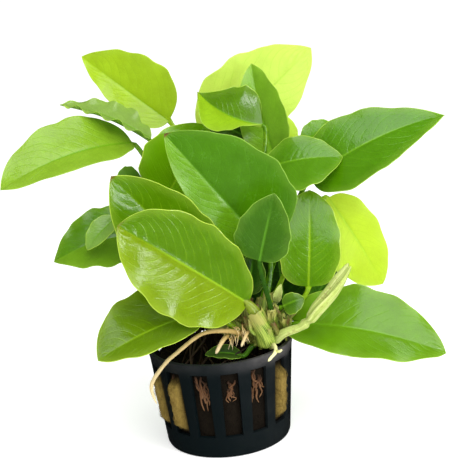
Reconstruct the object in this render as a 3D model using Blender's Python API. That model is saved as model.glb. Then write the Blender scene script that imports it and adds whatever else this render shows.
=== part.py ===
"""Anubias plant in a small round net pot.

The pot is a black slotted plastic cup packed with rock wool. A thick rhizome
creeps over the wool, and the leaves, the roots and one withered leaf grow from
it. Sizes below are in millimetres and the objects are in metres, with +Z up
and the origin in the middle of the pot's underside.
"""
import math

import bmesh
import bpy
from mathutils import Quaternion, Vector

MM = 0.001
GAP = 0.3                    # clearance where pieces rest against each other
UP = Vector((0, 0, 1))

# Net pot
POT_HEIGHT = 31.0
RIM_RADIUS = 22.5            # outside, at the top
FOOT_RADIUS = 19.5           # outside, at the base
WALL = 1.2
FLOOR = 1.4
POT_SIDES = 48
SLOT_COUNT = 15
SLOT_WIDTH = 5.3
SLOT_BOTTOM = 7.0
RIM_BAND = 3.3               # solid band above the slots
FIRST_SLOT = -67.9           # degrees round from the front, left is negative
DRAIN_COUNT = 5
DRAIN_WIDTH = 2.5
DRAIN_INNER = 7.5
DRAIN_OUTER = 13.5
CUTTER_REACH = 10.0          # how far a cutter goes through the wall or the floor

# Rock wool
WOOL_LEVELS = (1.7, 7.5, 10.0, 14.0, 18.0, 22.0, 27.4)
WOOL_SWOLLEN = (10.0, 14.0, 18.0, 22.0)
WOOL_CORNERS = (-6.6, -4.8, 4.8, 6.6)        # degrees each side of a slot's middle
WOOL_MIDDLE = (1, 2)         # the corners that swell out
WOOL_RIDGE = 6.0             # width of the high edge round its hollow top
WOOL_HOLLOW = 6.5            # how much lower the middle of its top is
WOOL_BULGE = 1.5             # how far the wool swells out through a slot
WOOL_SLOTS = (0, 1, 5)       # the slots that it has pushed into

# Rhizome
RHIZOME_POINTS = ((14, -11, 31.5), (11, -8, 34), (4, -1, 35), (-4, 7, 36), (-8, 11, 38))
RHIZOME_RADII = (2.0, 3.0, 3.0, 2.8, 1.8)
TUBE_SIDES = 8

# Leaves
BLADE_THICKNESS = 0.6
PETIOLE_RADIUS = 0.75
NECK = 5.0                   # the petiole lines up with the midrib over this length
PETIOLE_STEPS = 6
TIP_SHARE = 0.05             # the share of the blade over which its tip comes to a point
FOLD_AT_MIDRIB = 0.6         # the share of a half's fold that it already has beside the midrib
PETIOLE_RISE = 0.35          # how far, as a share of its reach, a petiole first heads up
BLADE_STEPS = (0.03, 0.1, 0.2, 0.34, 0.5, 0.66, 0.8, 0.92, 0.99)
BLADE_ACROSS = (-1.0, -0.5, 0.0, 0.5, 1.0)


def leaf(foot, base, tip, face, halves, fold=10, arch=2, shape=(0.5, 0.7), left_shape=None,
         twist=0, thick=1.0, age="grown"):
    """One leaf: foot is (share along the rhizome, degrees round it from the top).

    base and tip are the blade's ends, face is the way its upper side looks,
    halves are its widths left and right of the midrib, fold is how far each
    half rises (or one angle for each), arch how high the midrib bows, and shape
    how full the blade is towards the base and towards the tip, with left_shape
    where the left half differs. twist turns the blade's tip about the midrib,
    thick widens the petiole's foot, and age picks the leaf's colour.
    """
    folds = fold if isinstance(fold, tuple) else (fold, fold)
    return dict(foot=foot, base=Vector(base), tip=Vector(tip), face=Vector(face), halves=halves,
                folds=folds, arch=arch, shapes=(left_shape or shape, shape), twist=twist, thick=thick,
                age=age)


LEAVES = {
    "leaf_front_large": leaf((0.0, -35), (8, -16, 48), (-25, -28, 77), (-1, -9, 4), (16, 14.5),
                             fold=8, shape=(0.45, 0.4), left_shape=(0.45, 0.55), thick=3.0, age="young"),
    "leaf_front_small": leaf((0.08, 15), (14, -14, 59), (20, -16, 79), (-1, -9, 3), (9, 8),
                             fold=8, arch=1, shape=(0.4, 0.7), age="old"),
    "leaf_centre_large": leaf((0.20, 5), (17, -4, 60), (-10, -6, 98), (-1, -9, 3), (9.5, 20),
                              fold=12, shape=(0.42, 0.7), age="old"),
    "leaf_lower_left": leaf((0.30, -75), (-5, -12, 44), (-35, -30, 39), (-2, -7, 7), (8.5, 14),
                            fold=8, arch=3, shape=(0.5, 0.6), age="young"),
    "leaf_middle_left": leaf((0.45, -50), (0, -6, 53), (-26, -17, 89), (-1, -9, 4), (14.5, 12),
                             fold=12, shape=(0.5, 0.65), age="young"),
    "leaf_low_left": leaf((0.62, -70), (-20, 1, 67), (-47, -6, 63), (-2, -6, 7), (13, 12),
                          arch=3, shape=(0.5, 0.85)),
    "leaf_low_left_small": leaf((0.54, -45), (-27, -8, 75), (-36, -12, 67), (-2, -7, 6), (4, 4),
                                fold=15, arch=1),
    "leaf_behind_left": leaf((0.75, -35), (-13, 9, 75), (2, 13, 97), (2, -9, 2), (14, 13),
                             fold=12, shape=(0.5, 0.65), age="young"),
    "leaf_far_left": leaf((0.97, -10), (-21, 16, 93), (-60, -4, 86), (0, -7, 7), (8, 12.5),
                          fold=12, arch=5, shape=(0.45, 0.6)),
    "leaf_edge_on": leaf((0.93, 35), (-15, 14, 94), (-42, 18, 107), (0, -2, 9), (6, 7),
                         fold=20, shape=(0.6, 1.0)),
    "leaf_upper_left": leaf((0.82, 50), (-9, 22, 98), (-35, 34, 120), (-2, -9, 2), (7, 14),
                            fold=18, arch=1, shape=(0.4, 0.8), age="young"),
    "leaf_top_yellow": leaf((0.72, 50), (3, 30, 88), (40, 40, 115), (2, -9, 0), (18, 12), fold=8,
                            left_shape=(0.45, 0.8), age="pale"),
    "leaf_upright": leaf((0.60, 40), (23, 18, 85), (19, 26, 113), (-4, -9, 1), (8, 10),
                         fold=20, shape=(0.4, 0.75)),
    "leaf_cupped": leaf((0.50, 20), (20, 13, 95), (1, 5, 108), (-3, -5, 8), (13, 11),
                        fold=(0, 45), arch=-2.5, shape=(0.4, 1.1), left_shape=(1.6, 0.32), twist=22),
    "leaf_shaded": leaf((0.66, 10), (20, 26, 87), (2, 21, 98), (0, -8, 3), (8, 4), arch=1, age="old"),
    "leaf_right_upper": leaf((0.34, 50), (33, 6, 78), (76, 8, 93), (0, -7, 7), (12, 13),
                             arch=5, shape=(0.42, 1.0)),
    "leaf_right_glossy": leaf((0.40, 20), (21, 6, 83), (43, 3, 84), (1, -7, 6), (8, 12),
                              shape=(0.5, 0.8)),
    "leaf_right_yellow": leaf((0.30, 75), (38, 7, 71), (53, 5, 42), (2, -9, 2), (9, 13),
                              fold=8, shape=(0.4, 0.6), age="pale"),
    "leaf_middle_right": leaf((0.12, 40), (28.5, -5.5, 47), (32, 3, 75), (0, -9, 2), (10, 10),
                              fold=5, shape=(0.33, 0.45), age="young"),
    "leaf_lower_right": leaf((0.08, 80), (25, -10, 37), (66, -22, 27), (1, -7, 7), (14, 11),
                             arch=4, shape=(0.4, 0.65)),
    "leaf_right_small": leaf((0.50, 60), (33, 22, 86), (44, 26, 91), (1, -8, 4), (5, 5), arch=1),
    "leaf_top_small": leaf((0.58, 60), (27, 23, 84), (29, 26, 95), (1, -9, 1), (4, 4), arch=1,
                           age="pale"),
    "leaf_gap_dark": leaf((0.32, -10), (10, -4, 46), (13, -1, 58), (-1, -9, 2), (5, 5), arch=1,
                          age="old"),
    "leaf_in_pot": leaf((0.15, -130), (6, -11, 29), (-5, -11, 30.5), (0, -3, 8), (3.5, 3.5), arch=1,
                        age="old"),
    "leaf_low_right_tiny": leaf((0.20, 59), (20, -10, 43), (26.5, -11, 45), (0, -8, 5), (3, 4), arch=1),
    "leaf_right_dark": leaf((0.20, 85), (30, -1, 41), (38, 1, 51), (1, -9, 3), (5, 6), arch=1,
                            age="old"),
    "leaf_left_dark": leaf((0.86, -60), (-19, 10, 82), (-26, 4, 85), (-1, -6, 6), (4, 4), arch=1,
                           age="old"),
    "sheath_torn": leaf((0.28, 28), (18, -8, 44), (20, -10, 50), (-1, -9, 2), (1.5, 1.5),
                        fold=25, arch=1, age="dry"),
    "leaf_gap_back": leaf((0.30, 100), (22, 13, 34.5), (21, 19, 66), (0, -8, 2), (16, 14), arch=1,
                          shape=(0.4, 0.6), age="old"),
    "leaf_back_right": leaf((0.66, 100), (20, 27, 50), (42, 46, 48), (3, 4, 8), (12, 12), arch=3),
    "leaf_back_left": leaf((0.92, -80), (-16, 26, 56), (-34, 48, 52), (-3, 4, 8), (12, 12), arch=3),
    "leaf_back_low": leaf((0.97, 75), (2, 24, 48), (8, 60, 42), (0, 4, 8), (13, 13), arch=4),
    "leaf_back_high": leaf((0.78, 88), (6, 30, 66), (-8, 58, 74), (0, 5, 7), (12, 12), arch=3),
}

# Roots and the withered leaf: the points that each one runs through
ROOT_LONG = ((8.5, -11, 35.2), (2.6, -16, 39), (-5, -19, 40), (-13, -19, 35), (-17.5, -18, 31),
             (-21.8, -16, 24.5), (-21, -16, 18.5))
ROOT_LONG_RADII = (0.8, 0.7, 0.6, 0.6, 0.6, 0.6, 0.4)
ROOT_STUB_LEFT = ((2.4, -14, 37), (0.5, -16.5, 36), (-1.7, -18, 33))
ROOT_STUB_LEFT_RADII = (0.7, 0.6, 0.4)
ROOT_STUB_RIGHT = ((9.2, -13, 38), (7.6, -15.5, 36.5), (6, -17, 34))
ROOT_STUB_RIGHT_RADII = (0.55, 0.5, 0.35)
ROOT_FORKED = ((15.0, -13.2, 31.4), (15.8, -16.6, 33.4), (15.9, -19.8, 32.4), (13.4, -21.9, 30.4))
ROOT_FORKED_RADII = (0.8, 0.7, 0.6, 0.4)
ROOT_SIDES = 6
WITHERED_LEAF = ((16.9, -12.4, 33.6), (19.5, -16, 36.6), (24, -18, 38.6), (27, -18.5, 41),
                 (29.5, -19, 44.2), (33.5, -19, 48.4), (36.6, -19, 52.3), (39.5, -18, 55.7))
WITHERED_LEAF_RADII = (1.5, 1.3, 1.1, 2.2, 2.7, 2.6, 2.2, 1.2)

LEAF_COLOURS = {"grown": (0.14, 0.38, 0.02, 1), "old": (0.07, 0.24, 0.02, 1), "young": (0.27, 0.5, 0.01, 1),
                "pale": (0.55, 0.72, 0.03, 1), "dry": (0.55, 0.58, 0.22, 1)}


def material(name, colour, roughness):
    """A plain Principled material."""
    made = bpy.data.materials.new(name)
    made.use_nodes = True
    shader = made.node_tree.nodes["Principled BSDF"]
    shader.inputs["Base Color"].default_value = colour
    shader.inputs["Roughness"].default_value = roughness
    made.diffuse_color = colour
    return made


def add_object(name, bm, look):
    """Turn a bmesh in millimetres into a named object in metres."""
    bmesh.ops.scale(bm, vec=(MM, MM, MM), verts=bm.verts)
    bmesh.ops.recalc_face_normals(bm, faces=bm.faces)
    mesh = bpy.data.meshes.new(name)
    bm.to_mesh(mesh)
    bm.free()
    mesh.shade_smooth()
    mesh.set_sharp_from_angle(angle=math.radians(40))
    mesh.materials.append(look)
    made = bpy.data.objects.new(name, mesh)
    bpy.context.collection.objects.link(made)
    return made


def loft(rings):
    """One closed body through rings of points: each ring is extruded from the last."""
    bm = bmesh.new()
    count = len(rings[0])
    bmesh.ops.create_circle(bm, segments=count, radius=1.0)
    verts = list(bm.verts)
    for vert, place in zip(verts, rings[0]):
        vert.co = place
    bmesh.ops.contextual_create(bm, geom=list(bm.edges))
    for ring in rings[1:]:
        edges = [e for e in bm.edges if e.verts[0] in verts and e.verts[1] in verts]
        grown = bmesh.ops.extrude_edge_only(bm, edges=edges)["geom"]
        fresh = {v for v in grown if isinstance(v, bmesh.types.BMVert)}
        follow = []
        for vert in verts:
            follow.append(next(e.other_vert(vert) for e in vert.link_edges if e.other_vert(vert) in fresh))
        for vert, place in zip(follow, ring):
            vert.co = place
        verts = follow
    edges = [e for e in bm.edges if e.verts[0] in verts and e.verts[1] in verts]
    bmesh.ops.contextual_create(bm, geom=edges)
    return bm


def smooth_path(points, steps):
    """Points along a Catmull-Rom curve through the given points."""
    ends = [2 * points[0] - points[1], *points, 2 * points[-1] - points[-2]]
    path = []
    for a, b, c, d in zip(ends, ends[1:], ends[2:], ends[3:]):
        for step in range(steps):
            t = step / steps
            path.append(0.5 * (2 * b + (c - a) * t + (2 * a - 5 * b + 4 * c - d) * t ** 2
                               + (3 * b - a - 3 * c + d) * t ** 3))
    path.append(points[-1])
    return path


def tangents(path):
    """Unit direction at each point of a path."""
    ahead = path[1:] + path[-1:]
    behind = path[:1] + path[:-1]
    return [(a - b).normalized() for a, b in zip(ahead, behind)]


def carry_side(side, old, new):
    """Turn a sideways vector along with the path's direction."""
    return old.rotation_difference(new) @ side


def round_rings(path, radii, sides=TUBE_SIDES):
    """Circles across a path, one for each point, without twisting."""
    along = tangents(path)
    side = along[0].orthogonal().normalized()
    rings = []
    for index, (place, radius) in enumerate(zip(path, radii)):
        if index:
            side = carry_side(side, along[index - 1], along[index])
        other = along[index].cross(side)
        turns = [2 * math.pi * k / sides for k in range(sides)]
        rings.append([place + radius * (math.cos(a) * side + math.sin(a) * other) for a in turns])
    return rings


def spread(values, count):
    """Read a short list of values at evenly spaced places."""
    spots = [k * (len(values) - 1) / (count - 1) for k in range(count)]
    picked = []
    for spot in spots:
        low = min(int(spot), len(values) - 2)
        picked.append(values[low] + (values[low + 1] - values[low]) * (spot - low))
    return picked


def tube(points, radii, steps, sides=TUBE_SIDES):
    """A closed round tube along a smooth curve."""
    path = smooth_path([Vector(p) for p in points], steps)
    return loft(round_rings(path, spread(radii, len(path)), sides))


RHIZOME_PATH = smooth_path([Vector(p) for p in RHIZOME_POINTS], 8)


def rhizome_foot(share, degrees, petiole_radius):
    """Where a petiole leaves the rhizome, and its direction there."""
    spot = share * (len(RHIZOME_PATH) - 1)
    index = min(int(spot), len(RHIZOME_PATH) - 2)
    centre = RHIZOME_PATH[index].lerp(RHIZOME_PATH[index + 1], spot - index)
    along = (RHIZOME_PATH[index + 1] - RHIZOME_PATH[index]).normalized()
    outward = (UP - along * along.z).normalized()
    outward.rotate(Quaternion(along, math.radians(degrees)))
    radius = spread(RHIZOME_RADII, len(RHIZOME_PATH))[index]
    return centre + outward * (radius + GAP + petiole_radius * 0.6), outward


def blade_axes(shape):
    """The blade's length, and its unit axes along, out of the face and sideways."""
    length = (shape["tip"] - shape["base"]).length
    along = (shape["tip"] - shape["base"]) / length
    out = (shape["face"] - along * shape["face"].dot(along)).normalized()
    return length, along, out, along.cross(out)


def midrib(shape, u):
    """Point on the midrib, u from 0 at the base to 1 at the tip."""
    length, along, out, _ = blade_axes(shape)
    return shape["base"] + along * length * u + out * shape["arch"] * 4 * u * (1 - u)


def half_width(shape, u, v):
    """Distance from the midrib to the margin on the side of v."""
    full, keen = shape["shapes"][v > 0]
    widest = full / (full + keen)
    peak = widest ** full * (1 - widest) ** keen
    sharpened = ((1 - u) / (1 - u + TIP_SHARE)) ** max(1 - keen, 0)
    return shape["halves"][v > 0] * u ** full * (1 - u) ** keen * sharpened / peak


def blade_point(shape, u, v):
    """Point on the blade's middle sheet and the normal there, v from -1 to 1 across."""
    _, _, out, _ = blade_axes(shape)
    step = 0.001
    along = (midrib(shape, u + step) - midrib(shape, u - step)).normalized()
    out = (out - along * out.dot(along)).normalized()
    out.rotate(Quaternion(along, -math.radians(shape["twist"]) * (u - 0.5)))
    side = along.cross(out)
    reach = half_width(shape, u, v) * abs(v)
    rise = math.radians(shape["folds"][v > 0]) * (FOLD_AT_MIDRIB + (1 - FOLD_AT_MIDRIB) * abs(v))
    sign = 1 if v > 0 else -1
    place = midrib(shape, u) + side * sign * reach * math.cos(rise) + out * reach * math.sin(rise)
    normal = out * math.cos(rise) - side * sign * math.sin(rise) * (v != 0)
    return place, normal.normalized()


def petiole_path(shape):
    """The petiole's curve, from the rhizome to the blade."""
    foot, outward = rhizome_foot(*shape["foot"], PETIOLE_RADIUS * shape["thick"])
    start = (midrib(shape, 0.01) - midrib(shape, 0.0)).normalized()
    reach = (shape["base"] - foot).length
    first = foot + (outward + UP * 0.6).normalized() * reach * PETIOLE_RISE
    last = shape["base"] - start * min(NECK, reach * 0.4)
    path = []
    for step in range(PETIOLE_STEPS + 1):
        t = step / PETIOLE_STEPS
        path.append(foot * (1 - t) ** 3 + first * 3 * t * (1 - t) ** 2 + last * 3 * t ** 2 * (1 - t)
                    + shape["base"] * t ** 3)
    return path


def leaf_rings(shape):
    """Rings of a whole leaf: round along the petiole, then thin across the blade."""
    across = [(v, 1) for v in BLADE_ACROSS] + [(v, -1) for v in reversed(BLADE_ACROSS[1:-1])]
    blade = []
    for u in BLADE_STEPS:
        ring = []
        for v, face in across:
            place, normal = blade_point(shape, u, v)
            edge = abs(v) == 1.0
            ring.append(place + normal * (0 if edge else face * BLADE_THICKNESS / 2))
        blade.append(ring)
    path = petiole_path(shape)
    along = tangents(path)
    _, _, _, side = blade_axes(shape)
    side = (side - along[-1] * side.dot(along[-1])).normalized()
    stem = []
    count = len(across)
    for index in range(len(path) - 1, -1, -1):
        if index < len(path) - 1:
            side = carry_side(side, along[index + 1], along[index])
        out = side.cross(along[index])
        radius = PETIOLE_RADIUS * (1 + (shape["thick"] - 1) * (1 - (index / PETIOLE_STEPS) ** 3))
        turns = [math.pi - 2 * math.pi * k / count for k in range(count)]
        stem.append([path[index] + radius * (math.cos(a) * side + math.sin(a) * out) for a in turns])
    stem.reverse()
    return stem[:-1] + blade


def turned_box(width, depth, height, centre, degrees):
    """A closed box turned about the pot's axis, the centre given before the turn."""
    bm = bmesh.new()
    bmesh.ops.create_cube(bm, size=1.0)
    bmesh.ops.scale(bm, vec=(width, depth, height), verts=bm.verts)
    bmesh.ops.translate(bm, vec=centre, verts=bm.verts)
    turn = Quaternion(UP, math.radians(degrees)).to_matrix()
    bmesh.ops.rotate(bm, cent=(0, 0, 0), matrix=turn, verts=bm.verts)
    return bm


def pot_radius(height):
    """Outside radius of the pot at a height."""
    return FOOT_RADIUS + (RIM_RADIUS - FOOT_RADIUS) * height / POT_HEIGHT


def make_pot():
    """The cup is turned from its profile, then the slots and drains are cut from it."""
    look = material("pot_plastic", (0.01, 0.01, 0.012, 1), 0.3)
    profile = [(0, 0), (FOOT_RADIUS, 0), (RIM_RADIUS, POT_HEIGHT), (RIM_RADIUS - WALL, POT_HEIGHT),
               (pot_radius(FLOOR) - WALL, FLOOR), (0, FLOOR)]
    bm = bmesh.new()
    verts = [bm.verts.new((radius, 0, height)) for radius, height in profile]
    edges = [bm.edges.new(pair) for pair in zip(verts, verts[1:])]
    bmesh.ops.spin(bm, geom=verts + edges, cent=(0, 0, 0), axis=UP, angle=2 * math.pi,
                   steps=POT_SIDES, use_merge=True)
    bmesh.ops.remove_doubles(bm, verts=bm.verts, dist=0.001)
    pot = add_object("net_pot", bm, look)
    slot_height = POT_HEIGHT - RIM_BAND - SLOT_BOTTOM
    slot_middle = Vector((0, -RIM_RADIUS, SLOT_BOTTOM + slot_height / 2))
    cutters = []
    for index in range(SLOT_COUNT):
        turn = FIRST_SLOT + index * 360 / SLOT_COUNT
        cutters.append(turned_box(SLOT_WIDTH, CUTTER_REACH, slot_height, slot_middle, turn))
    drain_middle = Vector((0, -(DRAIN_INNER + DRAIN_OUTER) / 2, 0))
    for index in range(DRAIN_COUNT):
        turn = FIRST_SLOT + index * 360 / DRAIN_COUNT
        cutters.append(turned_box(DRAIN_WIDTH, DRAIN_OUTER - DRAIN_INNER, CUTTER_REACH,
                                  drain_middle, turn))
    for index, cutter_mesh in enumerate(cutters):
        cutter = add_object(f"cutter_{index}", cutter_mesh, look)
        cutter.hide_render = True
        cutter.display_type = "WIRE"
        cut = pot.modifiers.new(cutter.name, "BOOLEAN")
        cut.operation = "DIFFERENCE"
        cut.object = cutter


def make_wool():
    """A plug of rock wool that fits the cup, hollow on top and swollen into some slots."""
    look = material("rock_wool", (0.42, 0.3, 0.1, 1), 0.9)
    columns = SLOT_COUNT * len(WOOL_CORNERS)
    bm = bmesh.new()
    bmesh.ops.create_cone(bm, segments=columns, radius1=1.0, radius2=1.0, depth=1.0, cap_ends=True)
    sides = [e for e in bm.edges if abs(e.verts[0].co.z - e.verts[1].co.z) > 0.5]
    bmesh.ops.subdivide_edges(bm, edges=sides, cuts=len(WOOL_LEVELS) - 2)
    for vert in bm.verts:
        level = round((vert.co.z + 0.5) * (len(WOOL_LEVELS) - 1))
        height = WOOL_LEVELS[level]
        column = round(math.atan2(vert.co.x, -vert.co.y) * columns / (2 * math.pi)) % columns
        slot, corner = divmod(column, len(WOOL_CORNERS))
        turn = math.radians(FIRST_SLOT + slot * 360 / SLOT_COUNT + WOOL_CORNERS[corner])
        radius = pot_radius(height) - WALL - GAP
        if slot in WOOL_SLOTS and corner in WOOL_MIDDLE and height in WOOL_SWOLLEN:
            radius += WALL + WOOL_BULGE
        vert.co = Vector((math.sin(turn) * radius, -math.cos(turn) * radius, height))
    top = max(bm.faces, key=lambda f: f.calc_center_median().z)
    bmesh.ops.inset_region(bm, faces=[top], thickness=WOOL_RIDGE, depth=0.0)
    bmesh.ops.translate(bm, vec=(0, 0, -WOOL_HOLLOW), verts=top.verts)
    add_object("rock_wool", bm, look)


def make_rhizome():
    look = material("rhizome_skin", (0.35, 0.42, 0.12, 1), 0.5)
    add_object("rhizome", tube(RHIZOME_POINTS, RHIZOME_RADII, 4, 10), look)


def make_roots():
    for name, points, radii in (("root_long", ROOT_LONG, ROOT_LONG_RADII),
                                ("root_stub_left", ROOT_STUB_LEFT, ROOT_STUB_LEFT_RADII),
                                ("root_stub_right", ROOT_STUB_RIGHT, ROOT_STUB_RIGHT_RADII),
                                ("root_forked", ROOT_FORKED, ROOT_FORKED_RADII)):
        look = material(name, (0.45, 0.32, 0.14, 1), 0.7)
        add_object(name, tube(points, radii, 4, ROOT_SIDES), look)


def make_withered_leaf():
    look = material("withered_leaf", (0.6, 0.62, 0.25, 1), 0.6)
    add_object("withered_leaf", tube(WITHERED_LEAF, WITHERED_LEAF_RADII, 3), look)


def make_leaves():
    for name, shape in LEAVES.items():
        look = material(name, LEAF_COLOURS[shape["age"]], 0.35)
        add_object(name, loft(leaf_rings(shape)), look)


for old in list(bpy.data.objects):
    bpy.data.objects.remove(old)
make_pot()
make_wool()
make_rhizome()
make_roots()
make_withered_leaf()
make_leaves()
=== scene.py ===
"""Looks of a potted anubias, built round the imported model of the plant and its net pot."""
import math
import random

import bmesh
import bpy
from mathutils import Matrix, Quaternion, Vector, noise


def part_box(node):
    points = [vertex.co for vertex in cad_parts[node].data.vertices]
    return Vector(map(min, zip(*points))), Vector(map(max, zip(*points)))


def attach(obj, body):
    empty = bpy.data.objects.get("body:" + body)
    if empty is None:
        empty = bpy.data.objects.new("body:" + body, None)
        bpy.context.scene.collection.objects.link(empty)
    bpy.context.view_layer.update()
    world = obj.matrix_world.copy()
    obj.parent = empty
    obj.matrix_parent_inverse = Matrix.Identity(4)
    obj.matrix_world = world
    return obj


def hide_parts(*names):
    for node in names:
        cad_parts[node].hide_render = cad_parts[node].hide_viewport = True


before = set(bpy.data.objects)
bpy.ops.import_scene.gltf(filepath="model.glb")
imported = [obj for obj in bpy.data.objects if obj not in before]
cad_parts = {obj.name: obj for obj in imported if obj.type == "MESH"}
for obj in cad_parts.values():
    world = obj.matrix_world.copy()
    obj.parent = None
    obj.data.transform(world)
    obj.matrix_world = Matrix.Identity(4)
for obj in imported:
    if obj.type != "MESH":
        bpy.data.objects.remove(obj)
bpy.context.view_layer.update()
MM = 0.001                   # every size below is in millimetres
UP = Vector((0, 0, 1))


# ---- Net pot
# A small cup moulded in thin black plastic, open in tall slots so that roots and
# water pass. Its wall is one sheet, cut out at the slots and given its thickness.

pot_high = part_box("net_pot")[1] / MM
POT_HEIGHT = pot_high.z
RIM_RADIUS = pot_high.x
FOOT_RADIUS = 19.5
WALL = 1.2
SLOT_COUNT = 15
SLOT_WIDTH = 5.3
SLOT_BOTTOM = 7.0
SLOT_TOP = POT_HEIGHT - 3.3
FIRST_SLOT = -67.9           # degrees round from the front, left is negative
SLOT_PITCH = 360 / SLOT_COUNT
DRAIN_WIDTH = 2.5
DRAIN_INNER = 7.5
DRAIN_OUTER = 13.5
DRAIN_EVERY = 3              # a drain lies in line with each third slot
CENTRE_DISC = 3.0            # radius of the plain disc in the middle of the floor
FLOOR_TOP = 0.1              # whatever is lower than this belongs to the floor
LIP_FOOT = 28.6              # the wall turns out a little here, to form the lip
LIP_TOP = 29.3
POT_COLUMNS = 7              # columns of faces from one rib to the next
OPEN_COLUMNS = range(2, 5)   # the ones of them that a slot takes out
OPENING_LIMIT = 0.17         # half an opening takes no more than this share of the radius


def pot_radius(height):
    """Outside radius of the pot at a height."""
    return FOOT_RADIUS + (RIM_RADIUS - FOOT_RADIUS) * height / POT_HEIGHT


def round_pot(radius, degrees, height):
    """A place at an angle round from the front of the pot."""
    turn = math.radians(degrees)
    return Vector((math.sin(turn) * radius, -math.cos(turn) * radius, height))


def add_piece(name, bm, look, slot, *stands_for):
    """Turn a bmesh in millimetres into a finished piece that rides on the plant."""
    bmesh.ops.scale(bm, vec=(MM, MM, MM), verts=bm.verts)
    mesh = bpy.data.meshes.new(name)
    bm.to_mesh(mesh)
    bm.free()
    mesh.shade_smooth()
    mesh.materials.append(look)
    piece = bpy.data.objects.new(name, mesh)
    bpy.context.scene.collection.objects.link(piece)
    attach(piece, "root")
    if stands_for:
        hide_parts(*stands_for)
    return piece


def new_look(name, colour, roughness):
    """A material with its shader, ready for the nodes that colour it."""
    look = bpy.data.materials.new(name)
    look.use_nodes = True
    look.diffuse_color = (*colour, 1)
    shader = look.node_tree.nodes["Principled BSDF"]
    shader.inputs["Base Color"].default_value = (*colour, 1)
    shader.inputs["Roughness"].default_value = roughness
    return look, look.node_tree, shader


def put(tree, socket, value):
    """Give a socket a value, or link it to another socket."""
    if isinstance(value, bpy.types.NodeSocket):
        tree.links.new(value, socket)
    else:
        socket.default_value = value


def node(tree, kind, **settings):
    """Add a node with its settings, and the values or links of its inputs."""
    made = tree.nodes.new("ShaderNode" + kind)
    for key, value in settings.items():
        if hasattr(made, key):
            setattr(made, key, value)
        else:
            put(tree, made.inputs[key.replace("_", " ")], value)
    return made


def place_on(tree):
    """The place on a piece, in its object's own coordinates."""
    return node(tree, "TexCoord").outputs["Object"]


def mottle(tree, place, scale, detail, roughness=0.5, **settings):
    """Soft noise over a surface, from 0 to 1."""
    return node(tree, "TexNoise", Vector=place, Scale=scale, Detail=detail, Roughness=roughness,
                **settings).outputs["Fac"]


def maths(tree, operation, first, second=0.0):
    """The result of a sum on two numbers or sockets."""
    made = node(tree, "Math", operation=operation)
    for socket, value in zip(made.inputs, (first, second)):
        put(tree, socket, value)
    return made.outputs[0]


def grade(tree, value, low, high, start=0.0, end=1.0, step="LINEAR"):
    """A value that goes from start where another is low to end where it is high."""
    return node(tree, "MapRange", interpolation_type=step, Value=value, From_Min=low, From_Max=high,
                To_Min=start, To_Max=end).outputs[0]


def fade(tree, value, low, high, start=0.0, end=1.0):
    """As grade, but easing in and out."""
    return grade(tree, value, low, high, start, end, "SMOOTHSTEP")


def tones(tree, value, *stops):
    """Colour a value by a ramp of places and colours."""
    made = node(tree, "ValToRGB", Fac=value)
    ends = made.color_ramp.elements
    for end, (place, colour) in zip(ends[:], (stops[0], stops[-1])):
        end.position = place
        end.color = (*colour, 1)
    for place, colour in stops[1:-1]:
        ends.new(place).color = (*colour, 1)
    return made.outputs["Color"]


def finish_look(tree, shader, colour, gloss, height, strength, distance):
    """Give a shader its colour, its gloss and its fine relief."""
    put(tree, shader.inputs["Base Color"], colour)
    shader.inputs["Specular IOR Level"].default_value = gloss
    relief = node(tree, "Bump", Strength=strength, Distance=distance, Height=height).outputs["Normal"]
    put(tree, shader.inputs["Normal"], relief)
    return relief


def pot_plastic():
    """Blue-black plastic, hazed grey over the top band of its rim on the right."""
    look, tree, shader = new_look("pot_plastic", (0.004, 0.010, 0.012), 0.3)
    place = place_on(tree)
    apart = node(tree, "SeparateXYZ", Vector=place).outputs
    band = fade(tree, apart["Z"], (POT_HEIGHT - 5.0) * MM, POT_HEIGHT * MM, 0.08)
    right = fade(tree, apart["X"], -4.0 * MM, RIM_RADIUS * MM, 0.12)
    cloud = mottle(tree, place, 180.0, 4.0, 0.6)
    haze = maths(tree, "MULTIPLY", maths(tree, "MULTIPLY", band, right), cloud)
    colour = tones(tree, haze, (0.0, (0.002, 0.0055, 0.0065)), (0.7, (0.13, 0.12, 0.12)))
    rough = grade(tree, mottle(tree, place, 900.0, 3.0), 0.0, 1.0, 0.22, 0.5)
    put(tree, shader.inputs["Roughness"], rough)
    finish_look(tree, shader, colour, 0.16, cloud, 0.25, 0.0001)
    return look


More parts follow.
